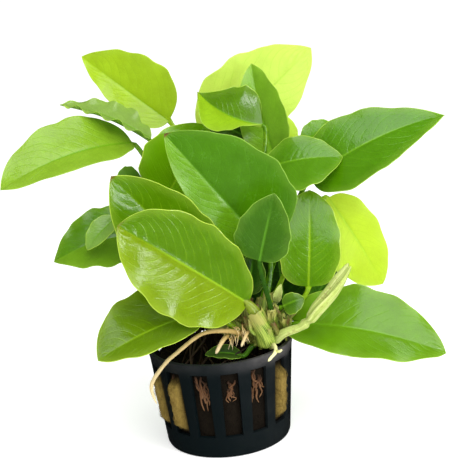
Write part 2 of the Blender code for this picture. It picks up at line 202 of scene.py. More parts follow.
def make_net_pot():
    """The cup: a profile turned round its axis and cut out at its slots and drains."""
    profile = [(CENTRE_DISC, 0.0), (DRAIN_INNER, 0.0), (DRAIN_OUTER, 0.0), (FOOT_RADIUS - 0.9, 0.0),
               (FOOT_RADIUS - 0.2, 0.25), (pot_radius(0.9), 0.9), (pot_radius(4), 4.0)]
    heights = [SLOT_BOTTOM + k * (SLOT_TOP - SLOT_BOTTOM) / 6 for k in range(7)]
    profile += [(pot_radius(h), h) for h in heights]
    profile += [(pot_radius(LIP_FOOT), LIP_FOOT), (pot_radius(LIP_TOP) + 0.1, LIP_TOP),
                (RIM_RADIUS - 0.05, POT_HEIGHT)]
    bm = bmesh.new()
    verts = [bm.verts.new((radius, 0, height)) for radius, height in profile]
    edges = [bm.edges.new(pair) for pair in zip(verts, verts[1:])]
    columns = SLOT_COUNT * POT_COLUMNS
    bmesh.ops.spin(bm, geom=verts + edges, cent=(0, 0, 0), axis=UP, angle=2 * math.pi,
                   steps=columns, use_merge=True)
    inner = [e for e in bm.edges if e.is_boundary and e.verts[0].co.length < CENTRE_DISC + 0.5]
    bmesh.ops.contextual_create(bm, geom=inner)
    column_of = {}
    for vert in bm.verts:
        turn = math.degrees(math.atan2(vert.co.x, -vert.co.y))
        column_of[vert] = round(turn * columns / 360) % columns
    cut = []
    for face in bm.faces:
        if len(face.verts) > 4:
            continue
        found = sorted(column_of[v] for v in face.verts)
        column = found[0] if found[-1] - found[0] <= 1 else columns - 1
        slot, part = divmod(column, POT_COLUMNS)
        middle = face.calc_center_median()
        in_slot = SLOT_BOTTOM < middle.z < SLOT_TOP
        in_drain = slot % DRAIN_EVERY == 0 and middle.z < FLOOR_TOP
        in_drain = in_drain and DRAIN_INNER < math.hypot(middle.x, middle.y) < DRAIN_OUTER
        if part in OPEN_COLUMNS and (in_slot or in_drain):
            cut.append(face)
    for vert in bm.verts:
        radius, height = math.hypot(vert.co.x, vert.co.y), vert.co.z
        slot, part = divmod(column_of[vert], POT_COLUMNS)
        opening = DRAIN_WIDTH if height < FLOOR_TOP else SLOT_WIDTH
        side = math.degrees(math.asin(min(opening / 2 / radius, OPENING_LIMIT)))
        rib = (side + SLOT_PITCH / 2) / 2
        shares = (-SLOT_PITCH / 2, -rib, -side, -side / 3, side / 3, side, rib)
        vert.co = round_pot(radius, FIRST_SLOT + slot * SLOT_PITCH + shares[part], height)
    bmesh.ops.delete(bm, geom=cut, context="FACES")
    bmesh.ops.recalc_face_normals(bm, faces=bm.faces)
    pot = add_piece("net_pot_cup", bm, pot_plastic(), "pot_plastic", "net_pot")
    wall = pot.modifiers.new("wall", "SOLIDIFY")
    wall.thickness = WALL * MM
    wall.offset = -1
    wall.use_even_offset = True
    soft = pot.modifiers.new("soft_edges", "BEVEL")
    soft.width = 0.3 * MM
    soft.segments = 3
    soft.limit_method = "ANGLE"
    soft.angle_limit = math.radians(40)


make_net_pot()


# ---- Rock wool
# A plug of spun mineral fibre that fills the cup. It has swollen out through three
# of the slots, and loose fibres stand up from it.

WOOL_BOTTOM = 1.7
WOOL_TOP = 27.4              # at the wall
WOOL_RIDGE = 6.0             # width of the high edge round its hollow top
WOOL_HOLLOW = 6.5            # how much lower the middle of its top is
WOOL_GAP = 0.3
WOOL_BULGE = 1.5             # how far the wool swells out through a slot
WOOL_SLOTS = (0, 1, 5)       # the slots that it has pushed into
WOOL_COLUMNS = 180
WOOL_ROWS = 48
WOOL_RINGS = 9               # rings of faces from the edge of its top to the middle
WALL_FIBRES = 420            # loose fibres on its side,
SWOLLEN_FIBRES = 260         # and how many of them stand where it has swollen out
TOP_FIBRES = 260
TOP_REACH = 19.0             # how far from the pot's axis the fibres on its top lie
DRAWS = random.Random(7)


def ease(value, low, high):
    """A smooth step from 0 at low to 1 at high."""
    share = min(max((value - low) / (high - low), 0.0), 1.0)
    return share * share * (3 - 2 * share)


def ripple(place, size, seed=0.0):
    """Soft noise from -1 to 1 with lumps of a size."""
    return noise.noise(place / size + Vector((seed, seed * 1.7, seed * 0.3)))


def shaped_tube(columns, rows, floats=(), vectors=()):
    """An upright tube with end faces, and the row and column of each of its vertices.

    floats and vectors name the values that its vertices will keep for the material.
    """
    bm = bmesh.new()
    for name in floats:
        bm.verts.layers.float.new(name)
    for name in vectors:
        bm.verts.layers.float_vector.new(name)
    bmesh.ops.create_cone(bm, cap_ends=True, segments=columns, radius1=1.0, radius2=1.0, depth=1.0)
    sides = [e for e in bm.edges if abs(e.verts[0].co.z - e.verts[1].co.z) > 0.5]
    bmesh.ops.subdivide_edges(bm, edges=sides, cuts=rows - 2)
    spots = {}
    for vert in bm.verts:
        turn = math.atan2(vert.co.y, vert.co.x)
        column = round(turn * columns / (2 * math.pi)) % columns
        spots[vert] = (round((vert.co.z + 0.5) * (rows - 1)), column)
    return bm, spots


def wool_swell(degrees, height):
    """How far the wool has come out through a slot, from 0 inside the wall to 1."""
    slot, share = divmod((degrees - FIRST_SLOT) / SLOT_PITCH + 0.5, 1)
    if int(slot) % SLOT_COUNT not in WOOL_SLOTS:
        return 0.0
    off = abs(share - 0.5) * SLOT_PITCH * math.radians(1) * pot_radius(height)
    across = 1 - ease(off, SLOT_WIDTH * 0.3, SLOT_WIDTH * 0.48)
    low = ease(height, SLOT_BOTTOM + 0.4, SLOT_BOTTOM + 4)
    high = ease(height, SLOT_TOP - 5, SLOT_TOP - 1.5)
    return across * (low * (1 - high))


def wool_radius(degrees, height):
    """Outside of the wool, where it fills the cup and swells through a slot."""
    return pot_radius(height) - WALL - WOOL_GAP + (WALL + WOOL_BULGE) * wool_swell(degrees, height)


def wool_height(reach):
    """Height of the hollow top at a distance from the pot's axis."""
    edge = pot_radius(WOOL_TOP) - WALL - WOOL_GAP
    return WOOL_TOP - WOOL_HOLLOW * ease(edge - reach, 1.0, WOOL_RIDGE + 2.0)


def mark_on(tree, name, output="Fac"):
    """A value that the vertices of a piece keep."""
    return node(tree, "Attribute", attribute_name=name).outputs[output]


def mix_colours(tree, share, first, second, mode="MIX"):
    """Mix two colours, or sockets of them, by a share."""
    made = node(tree, "Mix", data_type="RGBA", blend_type=mode, Factor=share)
    for socket, colour in zip(made.inputs[6:8], (first, second)):
        put(tree, socket, colour)
    return made.outputs[2]


def wool_look():
    """Mineral wool: tan and dry where it has swollen out, near black inside the cup: damp, and painted
    shade.
    """
    look, tree, shader = new_look("rock_wool", (0.3, 0.2, 0.06), 0.95)
    place = place_on(tree)
    stretched = node(tree, "Mapping", Vector=place, Scale=(1.0, 1.0, 0.35)).outputs["Vector"]
    strands = mottle(tree, stretched, 2600.0, 5.0, 0.75, Distortion=0.8)
    clumps = mottle(tree, place, 260.0, 4.0, 0.6)
    both = node(tree, "Mix", data_type="FLOAT", Factor=0.45)
    put(tree, both.inputs[2], strands)
    put(tree, both.inputs[3], clumps)
    # Inside the cup the wool is near black: its damp brown, darkened as painted shade. Where it has come
    # out through a slot it keeps its tan.
    damp_and_shade = tones(tree, both.outputs[0], (0.3, (0.003, 0.002, 0.001)), (0.72, (0.012, 0.008, 0.004)))
    dry = tones(tree, both.outputs[0], (0.3, (0.11, 0.07, 0.013)), (0.72, (0.35, 0.245, 0.06)))
    colour = mix_colours(tree, mark_on(tree, "dry"), damp_and_shade, dry)
    finish_look(tree, shader, colour, 0.12, strands, 0.8, 0.0003)
    return look


WOOL_LOOK = wool_look()


def make_rock_wool():
    """The plug: a lumpy tube that swells out through some of the slots."""
    bm, spots = shaped_tube(WOOL_COLUMNS, WOOL_ROWS, floats=["dry"])
    dry = bm.verts.layers.float["dry"]
    for vert, (row, column) in spots.items():
        height = WOOL_BOTTOM + (WOOL_TOP - WOOL_BOTTOM) * row / (WOOL_ROWS - 1)
        degrees = column * 360 / WOOL_COLUMNS
        vert.co = round_pot(wool_radius(degrees, height), degrees, height)
        # Marked 1 where the wool has come out through a slot; the rest takes the painted shade of the
        # cup's inside.
        vert[dry] = wool_swell(degrees, height)
    top = max(bm.faces, key=lambda f: f.calc_center_median().z)
    ring = (RIM_RADIUS - 3.0) / (WOOL_RINGS + 1)
    for _ in range(WOOL_RINGS):
        bmesh.ops.inset_region(bm, faces=[top], thickness=ring, depth=0.0)
        for vert in top.verts:
            vert.co.z = wool_height(math.hypot(vert.co.x, vert.co.y))
    for vert in bm.verts:
        inside = vert not in spots
        out = UP if inside else Vector((vert.co.x, vert.co.y, 0)).normalized()
        lumps = 0.22 * ripple(vert.co, 2.2) + 0.16 * ripple(vert.co, 0.8, 5)
        vert.co += out * lumps * (2.2 if inside else 1)
    add_piece("rock_wool_plug", bm, WOOL_LOOK, "rock_wool", "rock_wool")


def smooth_path(points, steps):
    """Points along a Catmull-Rom curve through the given points."""
    ends = [2 * points[0] - points[1], *points, 2 * points[-1] - points[-2]]
    path = []
    for a, b, c, d in zip(ends, ends[1:], ends[2:], ends[3:]):
        for step in range(steps):
            t = step / steps
            path.append(0.5 * (2 * b + (c - a) * t + (2 * a - 5 * b + 4 * c - d) * t ** 2
                               + (3 * b - a - 3 * c + d) * t ** 3))
    path.append(points[-1])
    return path


def tangents(path):
    """Unit direction at each point of a path."""
    ahead = path[1:] + path[-1:]
    behind = path[:1] + path[:-1]
    return [(a - b).normalized() for a, b in zip(ahead, behind)]


def path_frames(path, side=None):
    """A direction, a sideways vector and a third one at each point, without twisting."""
    along = tangents(path)
    if side:
        side = (side - along[0] * side.dot(along[0])).normalized()
    else:
        side = along[0].orthogonal().normalized()
    frames = []
    for index, direction in enumerate(along):
        if index:
            side = along[index - 1].rotation_difference(direction) @ side
        frames.append((direction, side, direction.cross(side)))
    return frames


def round_line(turn, side, other):
    """The direction at an angle round a line, from its sideways vectors."""
    return math.cos(turn) * side + math.sin(turn) * other


def join_part(bm, part):
    """Add the mesh of one part to a mesh of many."""
    held = bpy.data.meshes.new("part")
    part.to_mesh(held)
    part.free()
    bm.from_mesh(held)
    bpy.data.meshes.remove(held)


def add_strand(bm, points, thick, thin, sides=4, steps=3, dry=0.0):
    """Add a tapering thread along a smooth curve to a mesh of many."""
    path = smooth_path([Vector(p) for p in points], steps)
    frames = path_frames(path)
    strand, spots = shaped_tube(sides, len(path), floats=["dry"])
    shade = strand.verts.layers.float["dry"]
    for vert, (row, column) in spots.items():
        share = row / (len(path) - 1)
        radius = thick + (thin - thick) * share
        turn = 2 * math.pi * column / sides
        _, side, other = frames[row]
        vert.co = path[row] + radius * round_line(turn, side, other)
        vert[shade] = dry
    join_part(bm, strand)


def make_wool_fibres():
    """Loose fibres on the wool's side and over its hollow top."""
    bm = bmesh.new()
    for count in range(WALL_FIBRES):
        swollen = count < SWOLLEN_FIBRES
        slot = WOOL_SLOTS[count % len(WOOL_SLOTS)] if swollen else DRAWS.randrange(SLOT_COUNT)
        degrees = FIRST_SLOT + slot * SLOT_PITCH + DRAWS.uniform(-6, 6)
        height = DRAWS.uniform(SLOT_BOTTOM + 0.8, WOOL_TOP - 1.5)
        lean = DRAWS.uniform(-1, 1)
        length = DRAWS.uniform(1.2, 3.2)
        points = []
        for share in (0.0, 0.35, 0.7, 1.0):
            turn = degrees + lean * length * 1.6 * share
            up = height + length * (0.5 - share) * DRAWS.uniform(0.5, 1)
            lift = 0.45 * math.sin(math.pi * share) + DRAWS.uniform(-0.1, 0.2)
            points.append(round_pot(wool_radius(turn, up) + lift - 0.12, turn, up))
        add_strand(bm, points, 0.05, 0.03, sides=3, steps=2, dry=wool_swell(degrees, height))
    for _ in range(TOP_FIBRES):
        turn, reach = DRAWS.uniform(0, 360), TOP_REACH * math.sqrt(DRAWS.random())
        start = round_pot(reach, turn, wool_height(reach) + 0.2)
        sweep = Vector((DRAWS.uniform(-1, 1), DRAWS.uniform(-1, 1), 0)) * 2.0
        middle = start + UP * DRAWS.uniform(0.2, 0.9)
        points = [start - sweep - UP * 0.6, middle, start + sweep - UP * 0.6]
        # Fibres on the top mostly take the near-black colour: painted shade inside the cup.
        add_strand(bm, points, 0.06, 0.03, sides=3, steps=3, dry=DRAWS.uniform(0, 0.25))
    add_piece("wool_fibres", bm, WOOL_LOOK, "rock_wool")


make_rock_wool()
make_wool_fibres()


# ---- Rhizome
# The creeping stem that every leaf and root grows from: fleshy, ringed with the
# scars of old leaves, with short blunt nubs where roots are starting.

RHIZOME_POINTS = ((14, -11, 31.5), (11, -8, 34), (4, -1, 35), (-4, 7, 36), (-8, 11, 38))
RHIZOME_RADII = (2.0, 3.0, 3.0, 2.8, 1.8)
RHIZOME_SIDES = 28
RHIZOME_ROWS = 110
SCAR_COUNT = 9
ROOT_NUBS = (                # share along the rhizome, degrees round it, and length
    (0.06, 150, 1.6), (0.12, -140, 1.4), (0.22, -110, 1.8), (0.3, 170, 1.2), (0.5, -150, 1.5),
    (0.62, 120, 1.3), (0.8, -120, 1.4), (0.02, -60, 1.8), (0.05, -20, 1.4), (0.03, 40, 1.2))
RHIZOME_PATH = smooth_path([Vector(p) for p in RHIZOME_POINTS], 8)


def spread(values, share):
    """Read a short list of values at a share of the way along it."""
    spot = share * (len(values) - 1)
    low = min(int(spot), len(values) - 2)
    return values[low] + (values[low + 1] - values[low]) * (spot - low)


def pick_rows(path, rows):
    """A number of points spread over a finer path."""
    return [path[round(k * (len(path) - 1) / (rows - 1))] for k in range(rows)]


def skin_look(name, dark, light, blotch_size, roughness, gloss):
    """Plant skin with blotches and small dark specks."""
    look, tree, shader = new_look(name, light, roughness)
    place = place_on(tree)
    blotch = mottle(tree, place, 1.0 / (blotch_size * MM), 4.0, 0.6)
    specks = node(tree, "TexVoronoi", Scale=900.0, Vector=place).outputs["Distance"]
    colour = mix_colours(tree, 0.6, tones(tree, blotch, (0.35, dark), (0.62, light)),
                         fade(tree, specks, 0.08, 0.2, 0.45), "MULTIPLY")
    finish_look(tree, shader, colour, gloss, blotch, 0.5, 0.00015)
    return look


def make_rhizome():
    """The stem: a ringed tube along its curve, with its nubs."""
    path = pick_rows(smooth_path([Vector(p) for p in RHIZOME_POINTS], 27), RHIZOME_ROWS)
    frames = path_frames(path)
    bm, spots = shaped_tube(RHIZOME_SIDES, RHIZOME_ROWS)
    for vert, (row, column) in spots.items():
        share = row / (RHIZOME_ROWS - 1)
        turn = 2 * math.pi * column / RHIZOME_SIDES
        scar = abs((share * SCAR_COUNT + 0.06 * math.sin(turn * 2)) % 1 - 0.5)
        radius = spread(RHIZOME_RADII, share) * (1 - 0.1 * (1 - ease(scar, 0.0, 0.09)))
        radius *= math.sqrt(max(0.02, 1 - (2 * share - 1) ** 16))
        _, side, other = frames[row]
        out = round_line(turn, side, other)
        place = path[row] + out * radius
        vert.co = place + out * (0.28 * ripple(place, 1.8) + 0.1 * ripple(place, 0.6, 3))
    for share, degrees, length in ROOT_NUBS:
        index = round(share * (RHIZOME_ROWS - 1))
        _, side, other = frames[index]
        out = round_line(math.radians(degrees), side, other)
        base = path[index] + out * spread(RHIZOME_RADII, share) * 0.8
        points = (base, base + out * length * 0.6, base + out * length + UP * 0.2)
        add_strand(bm, points, 0.7, 0.35, 8, 4)
    look = skin_look("rhizome_skin", (0.12, 0.11, 0.015), (0.38, 0.47, 0.08), 1.6, 0.5, 0.3)
    add_piece("rhizome_stem", bm, look, "rhizome_skin", "rhizome")


make_rhizome()


# ---- Roots
# Fleshy roots that leave the underside of the rhizome: beige and corky where old,
# cream at the growing tip. Thin brown ones have grown down inside the cup.

ROOT_LONG = ((8.5, -11, 35.2), (2.6, -16, 39), (-5, -19, 40), (-13, -19, 35), (-17.5, -18, 31),
             (-21.8, -16, 24.5), (-21, -16, 18.5))
ROOT_STUB_LEFT = ((2.4, -14, 37), (0.5, -16.5, 36), (-1.7, -18, 33))
ROOT_STUB_RIGHT = ((9.2, -13, 38), (7.6, -15.5, 36.5), (6, -17, 34))
ROOT_FORKED = ((15.0, -13.2, 31.4), (15.8, -16.6, 33.4), (15.9, -19.8, 32.4), (13.4, -21.9, 30.4))
ROOT_FORK = ((15.9, -19.6, 32.5), (17.0, -20.6, 32.6), (17.8, -21.0, 33.2))
ROOT_SIDES = 12
CROWN_FIBRES = 24
BURIED_ROOTS = 34
SLOT_ROOTS = 39
CROWDED_SLOTS = (2, 3, 4)    # the first roots in the slots all show in these
CROWDED_ROOTS = 18


def root_look(name, old, young, tip):
    """Corky root skin that turns pale and smooth towards the tip."""
    look, tree, shader = new_look(name, young, 0.6)
    cork = mottle(tree, place_on(tree), 700.0, 5.0, 0.7)
    along = maths(tree, "ADD", mark_on(tree, "reach"), grade(tree, cork, 0.0, 1.0, -0.22, 0.22))
    colour = tones(tree, along, (0.0, old), (0.35, young), (1.0, tip))
    finish_look(tree, shader, colour, 0.3, cork, 0.6, 0.0001)
    return look


def add_root(bm, points, radii, steps=10, sides=ROOT_SIDES, knobs=0.09):
    """Add one root with an uneven skin and a rounded tip to a mesh."""
    path = smooth_path([Vector(p) for p in points], steps)
    frames = path_frames(path)
    root, spots = shaped_tube(sides, len(path), floats=["reach"])
    reach = root.verts.layers.float["reach"]
    for vert, (row, column) in spots.items():
        share = row / (len(path) - 1)
        radius = spread(radii, share) * math.sqrt(max(0.04, 1 - share ** 30))
        turn = 2 * math.pi * column / sides
        _, side, other = frames[row]
        out = round_line(turn, side, other)
        place = path[row] + out * radius
        vert.co = place + out * knobs * (ripple(place, 1.3, 2) + 0.5 * ripple(place, 0.5, 4))
        vert[reach] = share
    join_part(bm, root)


BEIGE_ROOT = root_look("beige_root", (0.34, 0.23, 0.055), (0.50, 0.36, 0.13), (0.76, 0.62, 0.36))
GREEN_ROOT = root_look("green_root", (0.46, 0.48, 0.12), (0.62, 0.62, 0.24), (0.82, 0.80, 0.42))
DARK_ROOT = root_look("dark_root", (0.008, 0.005, 0.003), (0.030, 0.017, 0.008), (0.07, 0.04, 0.018))
BROWN_ROOT = root_look("brown_root", (0.03, 0.012, 0.004), (0.105, 0.043, 0.014), (0.20, 0.10, 0.042))


def make_roots():
    """The thick roots that show in front of the crown."""
    for name, points, radii, node_name in (
            ("long_root", ROOT_LONG, (0.8, 0.72, 0.6, 0.58, 0.58, 0.6, 0.4), "root_long"),
            ("left_root_stub", ROOT_STUB_LEFT, (0.7, 0.68, 0.5), "root_stub_left"),
            ("right_root_stub", ROOT_STUB_RIGHT, (0.55, 0.55, 0.4), "root_stub_right")):
        bm = bmesh.new()
        add_root(bm, points, radii, steps=16 if name == "long_root" else 10)
        add_piece(name, bm, BEIGE_ROOT, "root_skin", node_name)
    bm = bmesh.new()
    add_root(bm, ROOT_FORKED, (0.7, 0.6, 0.55, 0.4))
    add_root(bm, ROOT_FORK, (0.5, 0.42, 0.28))
    add_piece("forked_root", bm, GREEN_ROOT, "root_skin", "root_forked")


def make_crown_fibres():
    """Short torn root fibres below the front of the rhizome."""
    bm = bmesh.new()
    for _ in range(CROWN_FIBRES):
        start = Vector((DRAWS.uniform(2.5, 8.5), DRAWS.uniform(-15.5, -12.5), DRAWS.uniform(36, 40)))
        drop = Vector((DRAWS.uniform(-1.4, 1.2), DRAWS.uniform(-1.6, 0.2), -DRAWS.uniform(1.2, 4.2)))
        bend = Vector((DRAWS.uniform(-0.7, 0.7), -0.5, 0.5))
        add_root(bm, (start, start + drop * 0.5 + bend, start + drop), (0.2, 0.15, 0.07), 4, 5, 0.02)
    add_piece("crown_fibres", bm, BEIGE_ROOT, "root_skin")


def make_buried_roots():
    """Brown roots that run down from the rhizome into the wool."""
    draws = random.Random(23)
    bm = bmesh.new()
    for _ in range(BURIED_ROOTS):
        share = draws.uniform(0.1, 0.95)
        stem = RHIZOME_PATH[round(share * (len(RHIZOME_PATH) - 1))]
        start = stem - UP * spread(RHIZOME_RADII, share) * 0.7
        reach = draws.uniform(2, 16)
        end = round_pot(reach, draws.uniform(0, 360), wool_height(reach) - 0.8)
        bend = Vector((draws.uniform(-2, 2), draws.uniform(-2, 2), draws.uniform(0, 1)))
        middle = start.lerp(end, 0.45) + bend
        thick = draws.uniform(0.25, 0.5)
        add_root(bm, (start, middle, end), (thick, thick * 0.9, thick * 0.6), 6, 7, 0.05)
    add_piece("buried_roots", bm, DARK_ROOT, "root_skin")


def make_slot_roots():
    """Brown roots that press against the inside of the wall and show in the slots."""
    bm = bmesh.new()
    for count in range(SLOT_ROOTS):
        crowded = count < CROWDED_ROOTS
        slot = CROWDED_SLOTS[count % len(CROWDED_SLOTS)] if crowded else DRAWS.randrange(SLOT_COUNT)
        turn = FIRST_SLOT + slot * SLOT_PITCH + DRAWS.uniform(-5, 5)
        lean = DRAWS.uniform(-5, 5)
        low = DRAWS.uniform(14.5, 21)
        high = DRAWS.uniform(22, WOOL_TOP)
        points = []
        for share in (0.0, 0.25, 0.5, 0.75, 1.0):
            height = high + (low - high) * share
            wander = turn + lean * share + DRAWS.uniform(-2.5, 2.5)
            sunk = pot_radius(height) - WALL - WOOL_GAP + DRAWS.uniform(-0.05, 0.4)
            points.append(round_pot(sunk, wander, height))
        thick = DRAWS.uniform(0.15, 0.42)
        add_root(bm, points, (thick, thick, thick * 0.5), 6, 7, 0.05)
    add_piece("slot_roots", bm, BROWN_ROOT, "root_skin")


make_roots()
make_crown_fibres()
make_buried_roots()
make_slot_roots()


# ---- Leaves
# Each leaf is one growth: a round stalk from the rhizome that runs on under the
# blade as its midrib, with side veins that curve forward to a thin pale margin.

BLADE_THICKNESS = 0.36
FULL_GROWN = 35.0            # a blade shorter than this waves less
VEIN_SWEEP = 0.36            # how far side veins run forward on their way to the margin
VEIN_WANDER = 0.022
VEIN_WIDTH = 0.13            # as a share of the way from one side vein to the next
STALK_RADIUS = 0.75
STALK_GAP = 0.3
NECK = 5.0                   # the stalk lines up with the midrib over this length
STALK_RISE = 0.35            # how far, as a share of its reach, a stalk first heads up
TIP_SHARE = 0.05             # the share of the blade over which its tip comes to a point
FOLD_AT_MIDRIB = 0.6         # the share of a half's fold that it already has beside the midrib
STALK_ROWS = 16
BLADE_ROWS = 84
BLADE_HALF = 18              # columns of faces each side of the midrib
BLADE_COLUMNS = BLADE_HALF * 4

# How thick the leaf tissue of each kind looks: share of light let through, and
# the colours of its veins, its margin and the light that comes through it.
KINDS = {
    "green": dict(slot="leaf_green", through=0.16, vein=(0.16, 0.38, 0.008), margin=(0.38, 0.58, 0.06),
                  glow=(0.36, 0.80, 0.004), rough=0.21, gloss=0.5),
    "dark": dict(slot="leaf_dark", through=0.10, vein=(0.10, 0.29, 0.012), margin=(0.26, 0.46, 0.05),
                 glow=(0.26, 0.68, 0.004), rough=0.25, gloss=0.45),
    "young": dict(slot="leaf_young", through=0.24, vein=(0.32, 0.54, 0.010), margin=(0.54, 0.70, 0.08),
                  glow=(0.66, 0.96, 0.004), rough=0.21, gloss=0.5),
    "yellow": dict(slot="leaf_yellow", through=0.5, vein=(0.50, 0.72, 0.05), margin=(0.66, 0.84, 0.20),
                   glow=(0.86, 0.97, 0.24), rough=0.38, gloss=0.3),
}


def leaf(foot, base, tip, face, halves, fold=10, arch=2, shape=(0.5, 0.7), left_shape=None,
         twist=0, thick=1.0, kind="green", tint=(0.13, 0.33, 0.008), wave=0.35, waves=3.0, veins=11,
         relief=0.09, uneven=0.3, ragged=0.02, spot=0.0, lobe=0.0, keel=-0.22,
         shaded_half=None, stalk=None):
    """One leaf: foot is (share along the rhizome, degrees round it from the top).

    base and tip are the blade's ends, face is the way its upper side looks,
    halves are its widths left and right of the midrib, fold is how far each
    half rises (or one angle for each), arch how high the midrib bows, and shape
    how full the blade is towards the base and towards the tip, with left_shape
    where the left half differs. wave is how far the margin waves and waves how
    often, relief is the depth of the side veins, uneven the depth of the slow
    swells, ragged how uneven the margin is, spot the browning of the tip, lobe
    how far the base reaches back past the stalk, keel the height of the midrib
    on the upper side, and the last two colours those of the right half, darker
    than tint as painted shade on the half turned from the light, and of the
    stalk, where they differ from tint and from the veins.
    """
    folds = fold if isinstance(fold, tuple) else (fold, fold)
    return dict(foot=foot, base=Vector(base), tip=Vector(tip), face=Vector(face), halves=halves,
                folds=folds, arch=arch, shapes=(left_shape or shape, shape), twist=twist, thick=thick,
                kind=kind, tint=tint, wave=wave, waves=waves, veins=veins, relief=relief, uneven=uneven,
                ragged=ragged, spot=spot, lobe=lobe, keel=keel, shaded_half=shaded_half or tint,
                stalk=stalk or KINDS[kind]["vein"])
